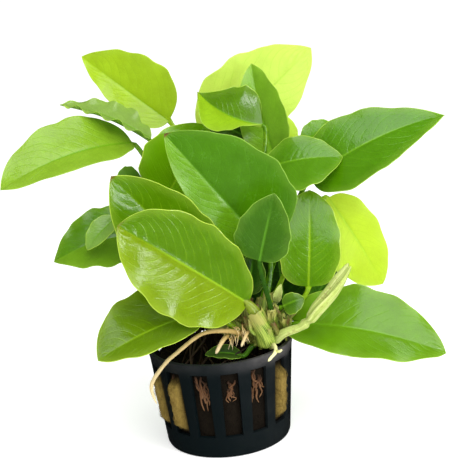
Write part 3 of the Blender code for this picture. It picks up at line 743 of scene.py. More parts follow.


# Leaves deep in the crown or under others (gap_dark, gap_back, in_pot, shaded) and the stalks of
# front_small and centre_large are coloured near black: painted shade over their green.
LEAVES = {
    "leaf_front_large": leaf((0.0, -35), (8, -16, 48), (-25, -28, 77), (-1, -9, 4), (16, 14.5),
                             fold=8, shape=(0.45, 0.4), left_shape=(0.45, 0.55), thick=3.0, kind="young",
                             tint=(0.19, 0.29, 0.001), shaded_half=(0.088, 0.205, 0.001), wave=0.7,
                             waves=3.5, relief=0.22, keel=0.35, veins=14, spot=0.3, lobe=2.0,
                             stalk=(0.27, 0.33, 0.04)),
    "leaf_front_small": leaf((0.08, 15), (14, -14, 59), (20, -16, 79), (-1, -9, 3), (9, 8),
                             fold=8, arch=1, shape=(0.4, 0.7), kind="dark", tint=(0.045, 0.145, 0.004),
                             stalk=(0.015, 0.065, 0.003)),
    "leaf_centre_large": leaf((0.20, 5), (17, -4, 60), (-10, -6, 98), (-1, -9, 3), (9.5, 20),
                              fold=12, shape=(0.42, 0.7), kind="dark", tint=(0.13, 0.32, 0.004),
                              shaded_half=(0.066, 0.215, 0.001), stalk=(0.015, 0.065, 0.003),
                              spot=1.0, relief=0.16, veins=13),
    "leaf_lower_left": leaf((0.30, -75), (-5, -12, 44), (-35, -30, 39), (-2, -7, 7), (8.5, 14),
                            fold=8, arch=3, shape=(0.5, 0.6), kind="young", tint=(0.1, 0.18, 0.001)),
    "leaf_middle_left": leaf((0.45, -50), (0, -6, 53), (-26, -17, 89), (-1, -9, 4), (14.5, 12),
                             fold=12, shape=(0.5, 0.65), kind="young", tint=(0.085, 0.21, 0.001),
                             spot=0.8, wave=0.5),
    "leaf_low_left": leaf((0.62, -70), (-20, 1, 67), (-47, -6, 63), (-2, -6, 7), (13, 12),
                          arch=3, shape=(0.5, 0.85), tint=(0.16, 0.33, 0.01),
                          shaded_half=(0.085, 0.22, 0.003), wave=0.4, waves=3.5),
    "leaf_low_left_small": leaf((0.54, -45), (-27, -8, 75), (-36, -12, 67), (-2, -7, 6), (4, 4),
                                fold=15, arch=1, tint=(0.2, 0.38, 0.06)),
    "leaf_behind_left": leaf((0.75, -35), (-13, 9, 75), (2, 13, 97), (2, -9, 2), (14, 13),
                             fold=12, shape=(0.5, 0.65), kind="young", tint=(0.14, 0.35, 0.001)),
    "leaf_far_left": leaf((0.97, -10), (-21, 16, 93), (-60, -4, 86), (0, -7, 7), (8, 12.5),
                          fold=12, arch=5, shape=(0.45, 0.6), tint=(0.235, 0.41, 0.02), relief=0.06),
    "leaf_edge_on": leaf((0.93, 35), (-15, 14, 94), (-42, 18, 107), (0, -2, 9), (6, 7),
                         fold=20, shape=(0.6, 1.0), tint=(0.24, 0.38, 0.07), wave=1.0,
                         waves=4.5, uneven=0.8, ragged=0.22),
    "leaf_upper_left": leaf((0.82, 50), (-9, 22, 98), (-35, 34, 120), (-2, -9, 2), (7, 14),
                            fold=18, arch=1, shape=(0.4, 0.8), kind="young", tint=(0.38, 0.56, 0.012),
                            relief=0.12),
    "leaf_top_yellow": leaf((0.72, 50), (3, 30, 88), (40, 40, 115), (2, -9, 0), (18, 12),
                            fold=8, left_shape=(0.45, 0.8), kind="yellow", tint=(0.57, 0.76, 0.14),
                            relief=0.2),
    "leaf_upright": leaf((0.60, 40), (23, 18, 85), (19, 26, 113), (-4, -9, 1), (8, 10),
                         fold=20, shape=(0.4, 0.75), tint=(0.22, 0.46, 0.02)),
    "leaf_cupped": leaf((0.50, 20), (20, 13, 95), (1, 5, 108), (-3, -5, 8), (13, 11), fold=(0, 45),
                        arch=-2.5, shape=(0.4, 1.1), left_shape=(1.6, 0.32), twist=22,
                        tint=(0.28, 0.48, 0.01), shaded_half=(0.085, 0.20, 0.001), spot=0.3,
                        stalk=(0.06, 0.20, 0.003)),
    # Dark: painted shade under the cupped leaf.
    "leaf_shaded": leaf((0.66, 10), (20, 26, 87), (2, 21, 98), (0, -8, 3), (8, 4), arch=1,
                        kind="dark", tint=(0.035, 0.09, 0.003)),
    "leaf_right_upper": leaf((0.34, 50), (33, 6, 78), (76, 8, 93), (0, -7, 7), (12, 13),
                             arch=5, shape=(0.42, 1.0), tint=(0.075, 0.22, 0.001), relief=0.12),
    "leaf_right_glossy": leaf((0.40, 20), (21, 6, 83), (43, 3, 84), (1, -7, 6), (8, 12),
                              shape=(0.5, 0.8), tint=(0.085, 0.24, 0.002), relief=0.14, lobe=3.0),
    "leaf_right_yellow": leaf((0.30, 75), (38, 7, 71), (53, 5, 42), (2, -9, 2), (9, 13),
                              fold=8, shape=(0.4, 0.6), kind="yellow", tint=(0.5, 0.69, 0.02)),
    "leaf_middle_right": leaf((0.12, 40), (28.5, -5.5, 47), (32, 3, 75), (0, -9, 2), (10, 10),
                              fold=5, shape=(0.33, 0.45), kind="young", tint=(0.095, 0.245, 0.001),
                              relief=0.14),
    "leaf_lower_right": leaf((0.08, 80), (25, -10, 37), (66, -22, 27), (1, -7, 7), (14, 11),
                             arch=4, shape=(0.4, 0.65), tint=(0.12, 0.275, 0.003), relief=0.1,
                             wave=0.6, lobe=6.0),
    "leaf_right_small": leaf((0.50, 60), (33, 22, 86), (44, 26, 91), (1, -8, 4), (5, 5), arch=1,
                             tint=(0.13, 0.33, 0.01)),
    "leaf_top_small": leaf((0.58, 60), (27, 23, 84), (29, 26, 95), (1, -9, 1), (4, 4), arch=1,
                           kind="yellow", tint=(0.5, 0.72, 0.03)),
    # Near black: painted shade in the gap between the front leaves.
    "leaf_gap_dark": leaf((0.32, -10), (10, -4, 46), (13, -1, 58), (-1, -9, 2), (5, 5), arch=1,
                          kind="dark", tint=(0.01, 0.05, 0.001), stalk=(0.03, 0.11, 0.003)),
    # Near black: painted shade inside the cup.
    "leaf_in_pot": leaf((0.15, -130), (6, -11, 29), (-5, -11, 30.5), (0, -3, 8), (3.5, 3.5), arch=1,
                        kind="dark", tint=(0.02, 0.055, 0.008)),
    "leaf_low_right_tiny": leaf((0.20, 59), (20, -10, 43), (26.5, -11, 45), (0, -8, 5), (3, 4), arch=1,
                                tint=(0.06, 0.17, 0.004)),
    "leaf_right_dark": leaf((0.20, 85), (30, -1, 41), (38, 1, 51), (1, -9, 3), (5, 6), arch=1,
                            kind="dark", tint=(0.04, 0.14, 0.003)),
    "leaf_left_dark": leaf((0.86, -60), (-19, 10, 82), (-26, 4, 85), (-1, -6, 6), (4, 4), arch=1,
                           kind="dark", tint=(0.05, 0.14, 0.006)),
    # A broad leaf behind the crown, coloured near black: painted shade that fills the hollow of the
    # crown.
    "leaf_gap_back": leaf((0.30, 100), (22, 13, 34.5), (21, 19, 66), (0, -8, 2), (16, 14), arch=1,
                          shape=(0.4, 0.6), kind="dark", tint=(0.006, 0.03, 0.001)),
    "leaf_back_right": leaf((0.66, 100), (20, 27, 50), (42, 46, 48), (3, 4, 8), (12, 12), arch=3),
    "leaf_back_left": leaf((0.92, -80), (-16, 26, 56), (-34, 48, 52), (-3, 4, 8), (12, 12), arch=3),
    "leaf_back_low": leaf((0.97, 75), (2, 24, 48), (8, 60, 42), (0, 4, 8), (13, 13), arch=4),
    "leaf_back_high": leaf((0.78, 88), (6, 30, 66), (-8, 58, 74), (0, 5, 7), (12, 12), arch=3),
}


def blade_axes(shape):
    """The blade's length, and its unit axes along, out of the face and sideways."""
    length = (shape["tip"] - shape["base"]).length
    along = (shape["tip"] - shape["base"]) / length
    out = (shape["face"] - along * shape["face"].dot(along)).normalized()
    return length, along, out, along.cross(out)


def midrib(shape, u):
    """Point on the midrib, u from 0 at the base to 1 at the tip."""
    length, along, out, _ = blade_axes(shape)
    return shape["base"] + along * length * u + out * shape["arch"] * 4 * u * (1 - u)


def half_width(shape, u, v):
    """Distance from the midrib to the margin on the side of v."""
    full, keen = shape["shapes"][v > 0]
    widest = full / (full + keen)
    peak = widest ** full * (1 - widest) ** keen
    sharpened = ((1 - u) / (1 - u + TIP_SHARE)) ** max(1 - keen, 0)
    return shape["halves"][v > 0] * u ** full * (1 - u) ** keen * sharpened / peak


def rhizome_foot(share, degrees, stalk_radius):
    """Where a stalk leaves the rhizome, and its direction there."""
    spot = share * (len(RHIZOME_PATH) - 1)
    index = min(int(spot), len(RHIZOME_PATH) - 2)
    centre = RHIZOME_PATH[index].lerp(RHIZOME_PATH[index + 1], spot - index)
    along = (RHIZOME_PATH[index + 1] - RHIZOME_PATH[index]).normalized()
    outward = (UP - along * along.z).normalized()
    outward.rotate(Quaternion(along, math.radians(degrees)))
    radius = spread(RHIZOME_RADII, index / (len(RHIZOME_PATH) - 1))
    return centre + outward * (radius + STALK_GAP + stalk_radius * 0.6), outward


def stalk_path(shape):
    """The stalk's curve, from inside the rhizome's skin to the blade."""
    foot, outward = rhizome_foot(*shape["foot"], STALK_RADIUS * shape["thick"])
    start = (midrib(shape, 0.01) - midrib(shape, 0.0)).normalized()
    reach = (shape["base"] - foot).length
    first = foot + (outward + UP * 0.6).normalized() * reach * STALK_RISE
    last = shape["base"] - start * min(NECK, reach * 0.4)
    path = [foot - outward * (STALK_GAP + STALK_RADIUS)]
    for step in range(STALK_ROWS):
        t = step / (STALK_ROWS - 1)
        path.append(foot * (1 - t) ** 3 + first * 3 * t * (1 - t) ** 2 + last * 3 * t ** 2 * (1 - t)
                    + shape["base"] * t ** 3)
    return path


def across_blade():
    """Places across a blade from one margin to the other, closer at the midrib and margins."""
    half = [ease(k / BLADE_HALF, 0, 1) for k in range(BLADE_HALF + 1)]
    return [-v for v in reversed(half[1:])] + half


def vein_flow(u, v, place, seed):
    """A measure along the blade that is the same all along a side vein."""
    return u - VEIN_SWEEP * abs(v) ** 1.5 + VEIN_WANDER * ripple(place, 6.5, seed + 4)


def side_vein(shape, flow, v):
    """1 in the middle of a side vein, 0 between two of them."""
    phase = flow * shape["veins"] + (0.5 if v > 0 else 0.2)
    return math.exp(-(((phase % 1) - 0.5) / VEIN_WIDTH) ** 2)


def blade_ring(shape, u, seed):
    """One ring of places round the blade at u, with its marks for the material."""
    _, _, out, _ = blade_axes(shape)
    step = 0.001
    centre = midrib(shape, u)
    along = (midrib(shape, u + step) - midrib(shape, u - step)).normalized()
    out = (out - along * out.dot(along)).normalized()
    out.rotate(Quaternion(along, -math.radians(shape["twist"]) * (u - 0.5)))
    side = along.cross(out)
    rib = 0.7 * (1 - u) ** 0.6 + 0.12
    small = min(1.0, (shape["tip"] - shape["base"]).length / FULL_GROWN)
    top, under = [], []
    for v in across_blade():
        size = abs(v)
        sign = 1 if v > 0 else -1
        width = half_width(shape, u, v)
        width *= 1 + 0.025 * math.sin(2 * math.pi * shape["waves"] * 1.3 * u + seed + sign)
        width *= 1 + shape["ragged"] * ripple(Vector((u * 14, sign, seed)), 1.0)
        reach = width * size
        rise = math.radians(shape["folds"][v > 0]) * (FOLD_AT_MIDRIB + (1 - FOLD_AT_MIDRIB) * size)
        place = centre + side * sign * reach * math.cos(rise) + out * reach * math.sin(rise)
        normal = (out * math.cos(rise) - side * sign * math.sin(rise) * (v != 0)).normalized()
        place -= along * shape["lobe"] * size ** 2 * math.exp(-u / 0.07)
        ease_in = ease(u, 0.0, 0.12)
        wave = math.sin(2 * math.pi * shape["waves"] * u + seed * 3 + sign * 1.3)
        lift = shape["wave"] * small * size ** 3 * wave * ease_in * ease(1 - u, 0, 0.1)
        lift += shape["uneven"] * small * ripple(place, 9, seed) * ease_in * ease(reach, 0, 5)
        flow = vein_flow(u, v, place, seed)
        vein = side_vein(shape, flow, v) * ease(size, 0.03, 0.15) * (1 - ease(size, 0.78, 0.97)) * ease_in
        lift -= shape["relief"] * vein * max(0.0, 0.6 + 1.2 * ripple(place, 7, seed + 9))
        thick = BLADE_THICKNESS * (1 - 0.6 * size ** 4) * (0.4 + 0.6 * ease(1 - u, 0, 0.06))
        ridge = math.exp(-(reach / rib) ** 2)
        keel = shape["keel"] * (1 - u) ** 0.5 * math.exp(-(reach / 0.7) ** 2) * ease_in
        margin = width * (1 - size)
        edge = size == 1
        above = place + normal * (lift + keel + (0 if edge else thick / 2))
        top.append((above, (u, v, margin), reach, flow))
        if not edge:
            below = place + normal * (lift - thick / 2 - rib * 1.1 * ridge)
            under.append((below, (u, v, -margin - 0.01), reach, flow))
    return top + under[::-1]


def leaf_rings(shape, seed):
    """All the rings of a leaf, from the foot of the stalk to the tip of the blade."""
    path = stalk_path(shape)
    along = tangents(path)
    _, _, _, side = blade_axes(shape)
    side = (side - along[-1] * side.dot(along[-1])).normalized()
    stalk = []
    for index in range(len(path) - 1, -1, -1):
        if index < len(path) - 1:
            side = along[index + 1].rotation_difference(along[index]) @ side
        out = side.cross(along[index])
        share = max(index - 1, 0) / (STALK_ROWS - 1)
        radius = STALK_RADIUS * (1 + (shape["thick"] - 1) * (1 - share ** 3))
        ring = []
        for column in range(BLADE_COLUMNS):
            turn = math.pi - 2 * math.pi * column / BLADE_COLUMNS
            swell = radius * (1 - 0.12 * math.exp(-((turn - math.pi / 2) / 0.4) ** 2))
            place = path[index] + swell * round_line(turn, side, out)
            ring.append((place, (share - 1.001, math.cos(turn), 1.0), 0.0, 0.0))
        stalk.append(ring)
    stalk.reverse()
    blade = []
    for row in range(1, BLADE_ROWS + 1):
        share = row / (BLADE_ROWS + 1)
        u = (1 - math.cos(math.pi * share)) / 2
        blade.append(blade_ring(shape, u, seed))
    return stalk[:-1] + blade


def tissue_group():
    """Leaf tissue: its mottling, veins, margin, browned tip and paler stalk and underside."""
    group = bpy.data.node_groups.new("leaf_tissue", "ShaderNodeTree")
    inputs = dict.fromkeys(("Flesh", "Vein", "Margin", "Glow", "ShadedHalf", "Stalk"), "Color")
    outputs = {"Color": "Color", "Through": "Color", "Roughness": "Float", "Height": "Float"}
    for way, sockets in (("INPUT", inputs | {"Veins": "Float", "Spot": "Float"}), ("OUTPUT", outputs)):
        for name, kind in sockets.items():
            group.interface.new_socket(name, in_out=way, socket_type="NodeSocket" + kind)
    given = group.nodes.new("NodeGroupInput").outputs
    result = group.nodes.new("NodeGroupOutput").inputs

    def times(first, second):
        return maths(group, "MULTIPLY", first, second)

    place = place_on(group)
    u, v, margin = node(group, "SeparateXYZ", Vector=mark_on(group, "blade", "Vector")).outputs
    reach = mark_on(group, "reach")
    size = maths(group, "ABSOLUTE", v)

    clouds = mottle(group, place, 170.0, 6.0, 0.68)
    grain = node(group, "TexVoronoi", Scale=2300.0, Vector=place).outputs["Distance"]
    bright = maths(group, "ADD", fade(group, clouds, 0.3, 0.7, 0.90, 1.08),
                   fade(group, grain, 0.0, 0.7, 0.06, -0.06))
    grey = node(group, "CombineColor", Red=bright, Green=bright, Blue=bright).outputs[0]
    # Each half of the blade takes its own colour; a darker right half is painted shade on the half turned
    # from the light.
    halves = mix_colours(group, fade(group, v, -0.03, 0.03), given["Flesh"], given["ShadedHalf"])
    flesh = mix_colours(group, 1.0, halves, grey, "MULTIPLY")

    side = maths(group, "ADD", times(maths(group, "GREATER_THAN", v, 0.0), 0.3), 0.2)
    flow = times(mark_on(group, "flow"), given["Veins"])
    phase = maths(group, "FRACT", maths(group, "ADD", flow, side))
    off = maths(group, "ABSOLUTE", maths(group, "SUBTRACT", phase, 0.5))
    on_blade = times(fade(group, u, 0.0, 0.08), fade(group, size, 0.96, 0.8))
    patchy = fade(group, clouds, 0.35, 0.68, 0.04, 0.34)
    lines = times(times(fade(group, off, 0.02, 0.09, 1.0, 0.0), on_blade), patchy)
    rib = times(fade(group, reach, 0.12, 0.55, 1.0, 0.0), fade(group, u, 0.98, 0.4, 0.0, 0.75))
    veins = maths(group, "MAXIMUM", lines, rib)
    veined = mix_colours(group, veins, flesh, given["Vein"])

    inset = maths(group, "ABSOLUTE", margin)
    rim = maths(group, "MAXIMUM", fade(group, inset, 0.12, 0.34, 0.95, 0.0),
                fade(group, inset, 0.3, 3.5, 0.14, 0.0))
    rimmed = mix_colours(group, times(rim, fade(group, u, 0.0, 0.02)), veined, given["Margin"])
    tip = times(fade(group, u, 0.972, 0.992), given["Spot"])
    browned = mix_colours(group, tip, rimmed, (0.16, 0.07, 0.012, 1))

    streaks = fade(group, mottle(group, place, 900.0, 2.0), 0.35, 0.65, 0.1, 0.5)
    stalk = mix_colours(group, streaks, given["Stalk"], given["Flesh"])
    on_stalk = fade(group, u, 0.005, -0.02)
    body = mix_colours(group, on_stalk, browned, stalk)
    beneath = times(maths(group, "LESS_THAN", margin, 0.0), 0.35)
    put(group, result["Color"], mix_colours(group, beneath, body, given["Vein"]))

    shade = mix_colours(group, veins, given["Glow"], given["Vein"])
    dim = mix_colours(group, times(tip, 0.9), shade, (0.2, 0.1, 0.02, 1))
    put(group, result["Through"], mix_colours(group, on_stalk, dim, given["Vein"]))
    put(group, result["Roughness"], fade(group, clouds, 0.25, 0.75, -0.03, 0.04))
    fine = maths(group, "ADD", times(grain, 0.35), times(lines, -2.2))
    ripples = times(mottle(group, place, 420.0, 2.0), 1.6)
    put(group, result["Height"], maths(group, "ADD", fine, ripples))
    return group


TISSUE = tissue_group()


def leaf_look(name, shape):
    """The finish of one leaf: glossy skin over tissue that lets some light through."""
    kind = KINDS[shape["kind"]]
    look, tree, shader = new_look(name, shape["tint"], kind["rough"])
    colours = dict(Flesh=shape["tint"], Vein=kind["vein"], Margin=kind["margin"], Glow=kind["glow"],
                   ShadedHalf=shape["shaded_half"], Stalk=shape["stalk"])
    tissue = node(tree, "Group", node_tree=TISSUE, Veins=shape["veins"], Spot=shape["spot"],
                  **{part: (*colour, 1) for part, colour in colours.items()}).outputs
    put(tree, shader.inputs["Roughness"], maths(tree, "ADD", tissue["Roughness"], kind["rough"]))
    relief = finish_look(tree, shader, tissue["Color"], kind["gloss"], tissue["Height"], 0.5, 0.00012)
    through = node(tree, "BsdfTranslucent", Color=tissue["Through"], Normal=relief)
    both = node(tree, "MixShader", Fac=kind["through"])
    put(tree, both.inputs[1], shader.outputs[0])
    put(tree, both.inputs[2], through.outputs[0])
    put(tree, tree.nodes["Material Output"].inputs["Surface"], both.outputs[0])
    return look


def leaf_mesh(shape, seed):
    """A whole leaf as one closed body, marked for its material."""
    rings = leaf_rings(shape, seed)
    bm, spots = shaped_tube(BLADE_COLUMNS, len(rings), floats=["reach", "flow"], vectors=["blade"])
    marks = bm.verts.layers.float_vector["blade"]
    reaches = bm.verts.layers.float["reach"]
    flows = bm.verts.layers.float["flow"]
    for vert, (row, column) in spots.items():
        vert.co, vert[marks], vert[reaches], vert[flows] = rings[row][column]
    bmesh.ops.recalc_face_normals(bm, faces=bm.faces)
    return bm


for number, (node_name, leaf_shape) in enumerate(LEAVES.items()):
    piece_name = node_name.replace("leaf_", "") + "_leaf"
    add_piece(piece_name, leaf_mesh(leaf_shape, number * 1.37), leaf_look(piece_name, leaf_shape),
              KINDS[leaf_shape["kind"]]["slot"], node_name)


# ---- Withered leaf and torn sheath
# An old leaf that has dried pale and rolled up along its length, still on its
# stalk, and the torn end of the sheath that once wrapped a new leaf.

WITHERED_LEAF = ((16.9, -12.4, 33.6), (19.5, -16, 36.6), (24, -18, 38.6), (27, -18.5, 41),
                 (29.5, -19, 44.2), (33.5, -19, 48.4), (36.6, -19, 52.3), (39.5, -18, 55.7))
WITHERED_RADII = (1.5, 1.3, 1.1, 2.1, 2.6, 2.6, 2.3, 1.3)
SCROLL_START = 0.40          # share of its length where the rolled blade begins
SCROLL_COLUMNS = 72
SCROLL_ROWS = 120
SCROLL_TURN = 430.0          # degrees that the blade is rolled through
TORN_SHEATH = leaf((0.28, 28), (18, -8, 44), (20, -10, 50), (-1, -9, 2), (1.5, 1.5), fold=25, arch=1,
                   kind="young", wave=0.5, relief=0.1, uneven=0.2)


def withered_look():
    """Dry leaf: straw and pale green streaks along its length, and brown specks."""
    look, tree, shader = new_look("withered_leaf", (0.45, 0.52, 0.14), 0.6)
    along = node(tree, "Mapping", Vector=mark_on(tree, "blade", "Vector"), Scale=(2.5, 26.0, 0.0))
    streaks = mottle(tree, along.outputs["Vector"], 1.0, 4.0, 0.65)
    straw = tones(tree, streaks, (0.3, (0.26, 0.34, 0.05)), (0.5, (0.46, 0.56, 0.14)),
                  (0.72, (0.74, 0.76, 0.36)))
    brown = fade(tree, mottle(tree, place_on(tree), 520.0, 5.0, 0.8), 0.54, 0.70, 0.0, 0.75)
    colour = mix_colours(tree, brown, straw, (0.22, 0.14, 0.03, 1))
    finish_look(tree, shader, colour, 0.25, streaks, 0.7, 0.0002)
    return look


def make_withered_leaf(look):
    """A stalk that opens into a blade rolled up along its length."""
    path = pick_rows(smooth_path([Vector(p) for p in WITHERED_LEAF], 24), SCROLL_ROWS)
    frames = path_frames(path, Vector((0, -1, 0)))
    half = SCROLL_COLUMNS // 2
    bm, spots = shaped_tube(SCROLL_COLUMNS, SCROLL_ROWS, vectors=["blade"])
    marks = bm.verts.layers.float_vector["blade"]
    for vert, (row, column) in spots.items():
        share = row / (SCROLL_ROWS - 1)
        radius = spread(WITHERED_RADII, share)
        along, side, other = frames[row]
        outer = column < half
        wound = column / (half - 1) if outer else (SCROLL_COLUMNS - 1 - column) / (half - 1)
        crease = 0.13 * math.sin(wound * 19 + share * 2) + 0.05 * math.sin(wound * 41 + share * 3)
        turn = math.radians(-60 + SCROLL_TURN * wound + 50 * share)
        rolled = radius * (1.0 - 0.42 * wound) + crease - (0 if outer else 0.26)
        rolled *= 1 + 0.5 * ease(0.12 - wound, 0, 0.12)
        scroll = rolled * round_line(turn, side, other)
        ragged = 1.3 * ripple(Vector((wound * 9, share, 0)), 1.0, 3) * ease(share, 0.9, 1)
        scroll += along * ragged
        round_turn = 2 * math.pi * column / SCROLL_COLUMNS + math.radians(-60)
        stalk = radius * round_line(round_turn, side, other)
        open_share = ease(share, SCROLL_START - 0.06, SCROLL_START + 0.05)
        vert.co = path[row] + stalk.lerp(scroll, open_share)
        vert.co += UP * 0.25 * ripple(vert.co, 5.0)
        vert[marks] = (share, wound, 0)
    bmesh.ops.recalc_face_normals(bm, faces=bm.faces)
    add_piece("withered_scroll", bm, look, "withered_leaf", "withered_leaf")


WITHERED_LOOK = withered_look()
make_withered_leaf(WITHERED_LOOK)
add_piece("torn_sheath", leaf_mesh(TORN_SHEATH, 3.0), WITHERED_LOOK, "withered_leaf", "sheath_torn")


# ---- Sheaths round the stalks
# Thin papery sheaths that wrap the feet of the stalks where they leave the rhizome,
# green where fresh, and split and browned where old.

SHEATH_SIDES = 24
SHEATH_STEPS = 13
SHEATH_WALL = 0.18
SHEATH_WRAP = 300            # degrees of its stalk that a sheath goes round
# The stalk that each sheath wraps, and the sheath's length and radius.
FRESH_SHEATHS = (
    ("leaf_front_small", 9.0, 1.7), ("leaf_middle_right", 9.5, 2.0), ("leaf_centre_large", 11.0, 1.8),
    ("leaf_middle_left", 8.0, 1.6), ("leaf_lower_right", 8.5, 1.7), ("leaf_right_upper", 10.0, 1.8),
    ("leaf_front_large", 11.0, 2.85))
OLD_SHEATHS = (
    ("leaf_low_right_tiny", 7.0, 1.9), ("leaf_right_yellow", 8.0, 2.0), ("leaf_gap_dark", 8.0, 2.0),
    ("leaf_right_glossy", 7.5, 2.1), ("leaf_cupped", 9.0, 1.9), ("leaf_gap_back", 19.0, 2.4),
    ("leaf_right_dark", 12.0, 1.7))
TORN = random.Random(11)


def add_sleeve(bm, points, radius, wrap, seed):
    """Add a thin sleeve that wraps some degrees round a line, flared and ragged at its top."""
    path = smooth_path(points, SHEATH_STEPS)
    frames = path_frames(path)
    half = SHEATH_SIDES // 2
    sleeve, spots = shaped_tube(SHEATH_SIDES, len(path), vectors=["blade"])
    marks = sleeve.verts.layers.float_vector["blade"]
    for vert, (row, column) in spots.items():
        share = row / (len(path) - 1)
        outer = column < half
        across = (column if outer else SHEATH_SIDES - 1 - column) / (half - 1)
        along, side, other = frames[row]
        turn = math.radians(seed * 77 + wrap * across - 40 * share)
        size = radius * (1.05 - 0.25 * share) * (1 + 0.28 * ease(share, 0.55, 1) * across)
        size -= 0 if outer else SHEATH_WALL
        ragged = 1.6 * ripple(Vector((across * 6, seed, 0)), 1.0, seed) * ease(share, 0.8, 1)
        place = path[row] + size * round_line(turn, side, other) + along * ragged
        vert.co = place + (place - path[row]).normalized() * 0.14 * ripple(place, 1.2, seed)
        vert[marks] = (share, across, 0)
    bmesh.ops.recalc_face_normals(sleeve, faces=sleeve.faces)
    join_part(bm, sleeve)


def make_sheath(name, length, radius, look, seed):
    """A sheath round the foot of a stalk, split down one side."""
    path = stalk_path(LEAVES[name])
    top = min(length / (path[-1] - path[0]).length, 0.9)
    points = [path[round(top * share * (len(path) - 1))] for share in (0, 0.5, 1)]
    bm = bmesh.new()
    add_sleeve(bm, points, radius, SHEATH_WRAP, seed)
    add_piece(name.replace("leaf_", "") + "_sheath", bm, look, "withered_leaf")


def make_torn_strips(name, count, look):
    """Strips of torn sheath that stand and curl between the stalks."""
    bm = bmesh.new()
    for number in range(count):
        foot = Vector((TORN.uniform(9.5, 21), TORN.uniform(-14.5, -9), TORN.uniform(33, 37)))
        lean = Vector((TORN.uniform(-0.5, 0.7), TORN.uniform(-0.5, 0.1), 1.0)) * TORN.uniform(3.0, 7.5)
        sag = Vector((TORN.uniform(-1, 1), TORN.uniform(-1, 0), TORN.uniform(-0.8, 0.8)))
        add_sleeve(bm, [foot, foot + lean * 0.5 + sag, foot + lean], TORN.uniform(0.6, 1.4),
                   TORN.uniform(80, 170), number * 1.3)
    add_piece(name, bm, look, "withered_leaf")


def sheath_look(name, dark, light, brown):
    """Sheath tissue with fine ribs along it and a browned, papery top."""
    look, tree, shader = new_look(name, light, 0.42)
    blade = mark_on(tree, "blade", "Vector")
    ribs = node(tree, "Mapping", Vector=blade, Scale=(1.5, 40.0, 0.0)).outputs["Vector"]
    grain = mottle(tree, ribs, 1.0, 4.0, 0.6)
    height = node(tree, "SeparateXYZ", Vector=blade).outputs["X"]
    stain = maths(tree, "MULTIPLY", height, mottle(tree, place_on(tree), 420.0, 4.0))
    colour = mix_colours(tree, fade(tree, stain, 0.28, 0.52, 0.0, 0.85),
                         tones(tree, grain, (0.42, dark), (0.6, light)), (*brown, 1))
    finish_look(tree, shader, colour, 0.4, grain, 0.5, 0.00012)
    return look


FRESH_SHEATH = sheath_look("fresh_sheath", (0.07, 0.14, 0.004), (0.42, 0.54, 0.08), (0.36, 0.34, 0.08))
OLD_SHEATH = sheath_look("old_sheath", (0.07, 0.08, 0.006), (0.26, 0.28, 0.05), (0.13, 0.06, 0.015))
for number, (name, length, radius) in enumerate(FRESH_SHEATHS):
    make_sheath(name, length, radius, FRESH_SHEATH, number + 0.4)
for number, (name, length, radius) in enumerate(OLD_SHEATHS):
    make_sheath(name, length, radius, OLD_SHEATH, number + 7.3)
make_torn_strips("fresh_torn_strips", 22, FRESH_SHEATH)
make_torn_strips("old_torn_strips", 10, OLD_SHEATH)


# ---- Floor, light and camera
# A plain white floor and background, one broad soft light above and in front, a
# small weak one low on the right, and a camera a little above the plant.

LENS = 82.29
CAMERA_PLACE = Vector((0, -320.89, 142.37))
CAMERA_TARGET = Vector((8.6, 9.4, 62.0))
CAMERA_ROLL = 5.6            # degrees clockwise
FLOOR_REACH = 20000.0


def make_floor():
    """A wide white disc under the pot."""
    bm = bmesh.new()
    bmesh.ops.create_circle(bm, cap_ends=True, segments=64, radius=FLOOR_REACH * MM)
    mesh = bpy.data.meshes.new("floor")
    bm.to_mesh(mesh)
    bm.free()
    look, _, shader = new_look("floor", (0.92, 0.92, 0.92), 0.9)
    shader.inputs["Specular IOR Level"].default_value = 0.0
    shader.inputs["Emission Color"].default_value = (1, 1, 1, 1)
    shader.inputs["Emission Strength"].default_value = 0.4
    mesh.materials.append(look)
    floor = bpy.data.objects.new("floor", mesh)
    bpy.context.scene.collection.objects.link(floor)
    floor.visible_glossy = False


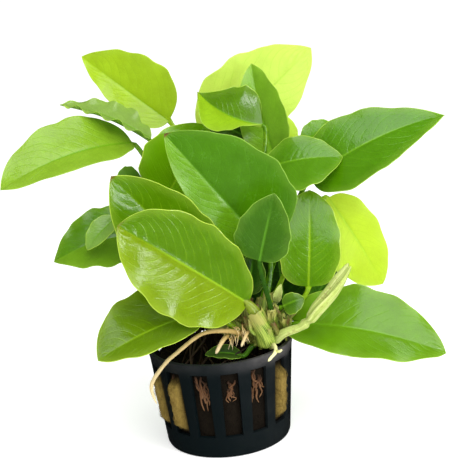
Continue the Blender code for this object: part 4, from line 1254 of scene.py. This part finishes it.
def make_world():
    """White to the camera, and softer for the light that falls on the plant."""
    world = bpy.data.worlds.new("studio")
    bpy.context.scene.world = world
    world.use_nodes = True
    tree = world.node_tree
    seen = tree.nodes["Background"]
    seen.inputs["Color"].default_value = (1, 1, 1, 1)
    seen.inputs["Strength"].default_value = 1.02
    path = node(tree, "LightPath").outputs
    up = node(tree, "SeparateXYZ", Vector=node(tree, "TexCoord").outputs["Generated"]).outputs["Z"]
    height = grade(tree, up, -0.3, 1.0, 0.5, 1.1)
    mirrored = grade(tree, path["Is Glossy Ray"], 0.0, 1.0, 1.0, 0.06)
    dome = node(tree, "Background", Strength=maths(tree, "MULTIPLY", height, mirrored))
    both = node(tree, "MixShader", Fac=path["Is Camera Ray"])
    put(tree, both.inputs[1], dome.outputs[0])
    put(tree, both.inputs[2], seen.outputs[0])
    put(tree, tree.nodes["World Output"].inputs["Surface"], both.outputs[0])


def make_softbox(name, place, target, size, power):
    """A square soft light that points at a place."""
    lamp = bpy.data.lights.new(name, "AREA")
    lamp.size = size * MM
    lamp.energy = power
    softbox = bpy.data.objects.new(name, lamp)
    softbox.location = Vector(place) * MM
    softbox.rotation_euler = (Vector(target) - Vector(place)).to_track_quat("-Z", "Y").to_euler()
    bpy.context.scene.collection.objects.link(softbox)


def make_camera():
    """The camera, rolled a little about the way it looks."""
    camera = bpy.data.objects.new("camera", bpy.data.cameras.new("camera"))
    camera.data.lens = LENS
    camera.data.clip_start = 0.01
    camera.data.clip_end = 100
    forward = (CAMERA_TARGET - CAMERA_PLACE).normalized()
    turn = forward.to_track_quat("-Z", "Y")
    camera.rotation_mode = "QUATERNION"
    camera.rotation_quaternion = Quaternion(forward, math.radians(CAMERA_ROLL)) @ turn
    camera.location = CAMERA_PLACE * MM
    bpy.context.scene.collection.objects.link(camera)
    bpy.context.scene.camera = camera


make_floor()
make_world()
make_softbox("main_softbox", (150, -350, 480), (0, 0, 60), 560, 3.1)
make_softbox("side_softbox", (426, -408, 190), (0, 0, 60), 170, 1.1)
make_camera()
bpy.context.scene.view_settings.view_transform = "Standard"
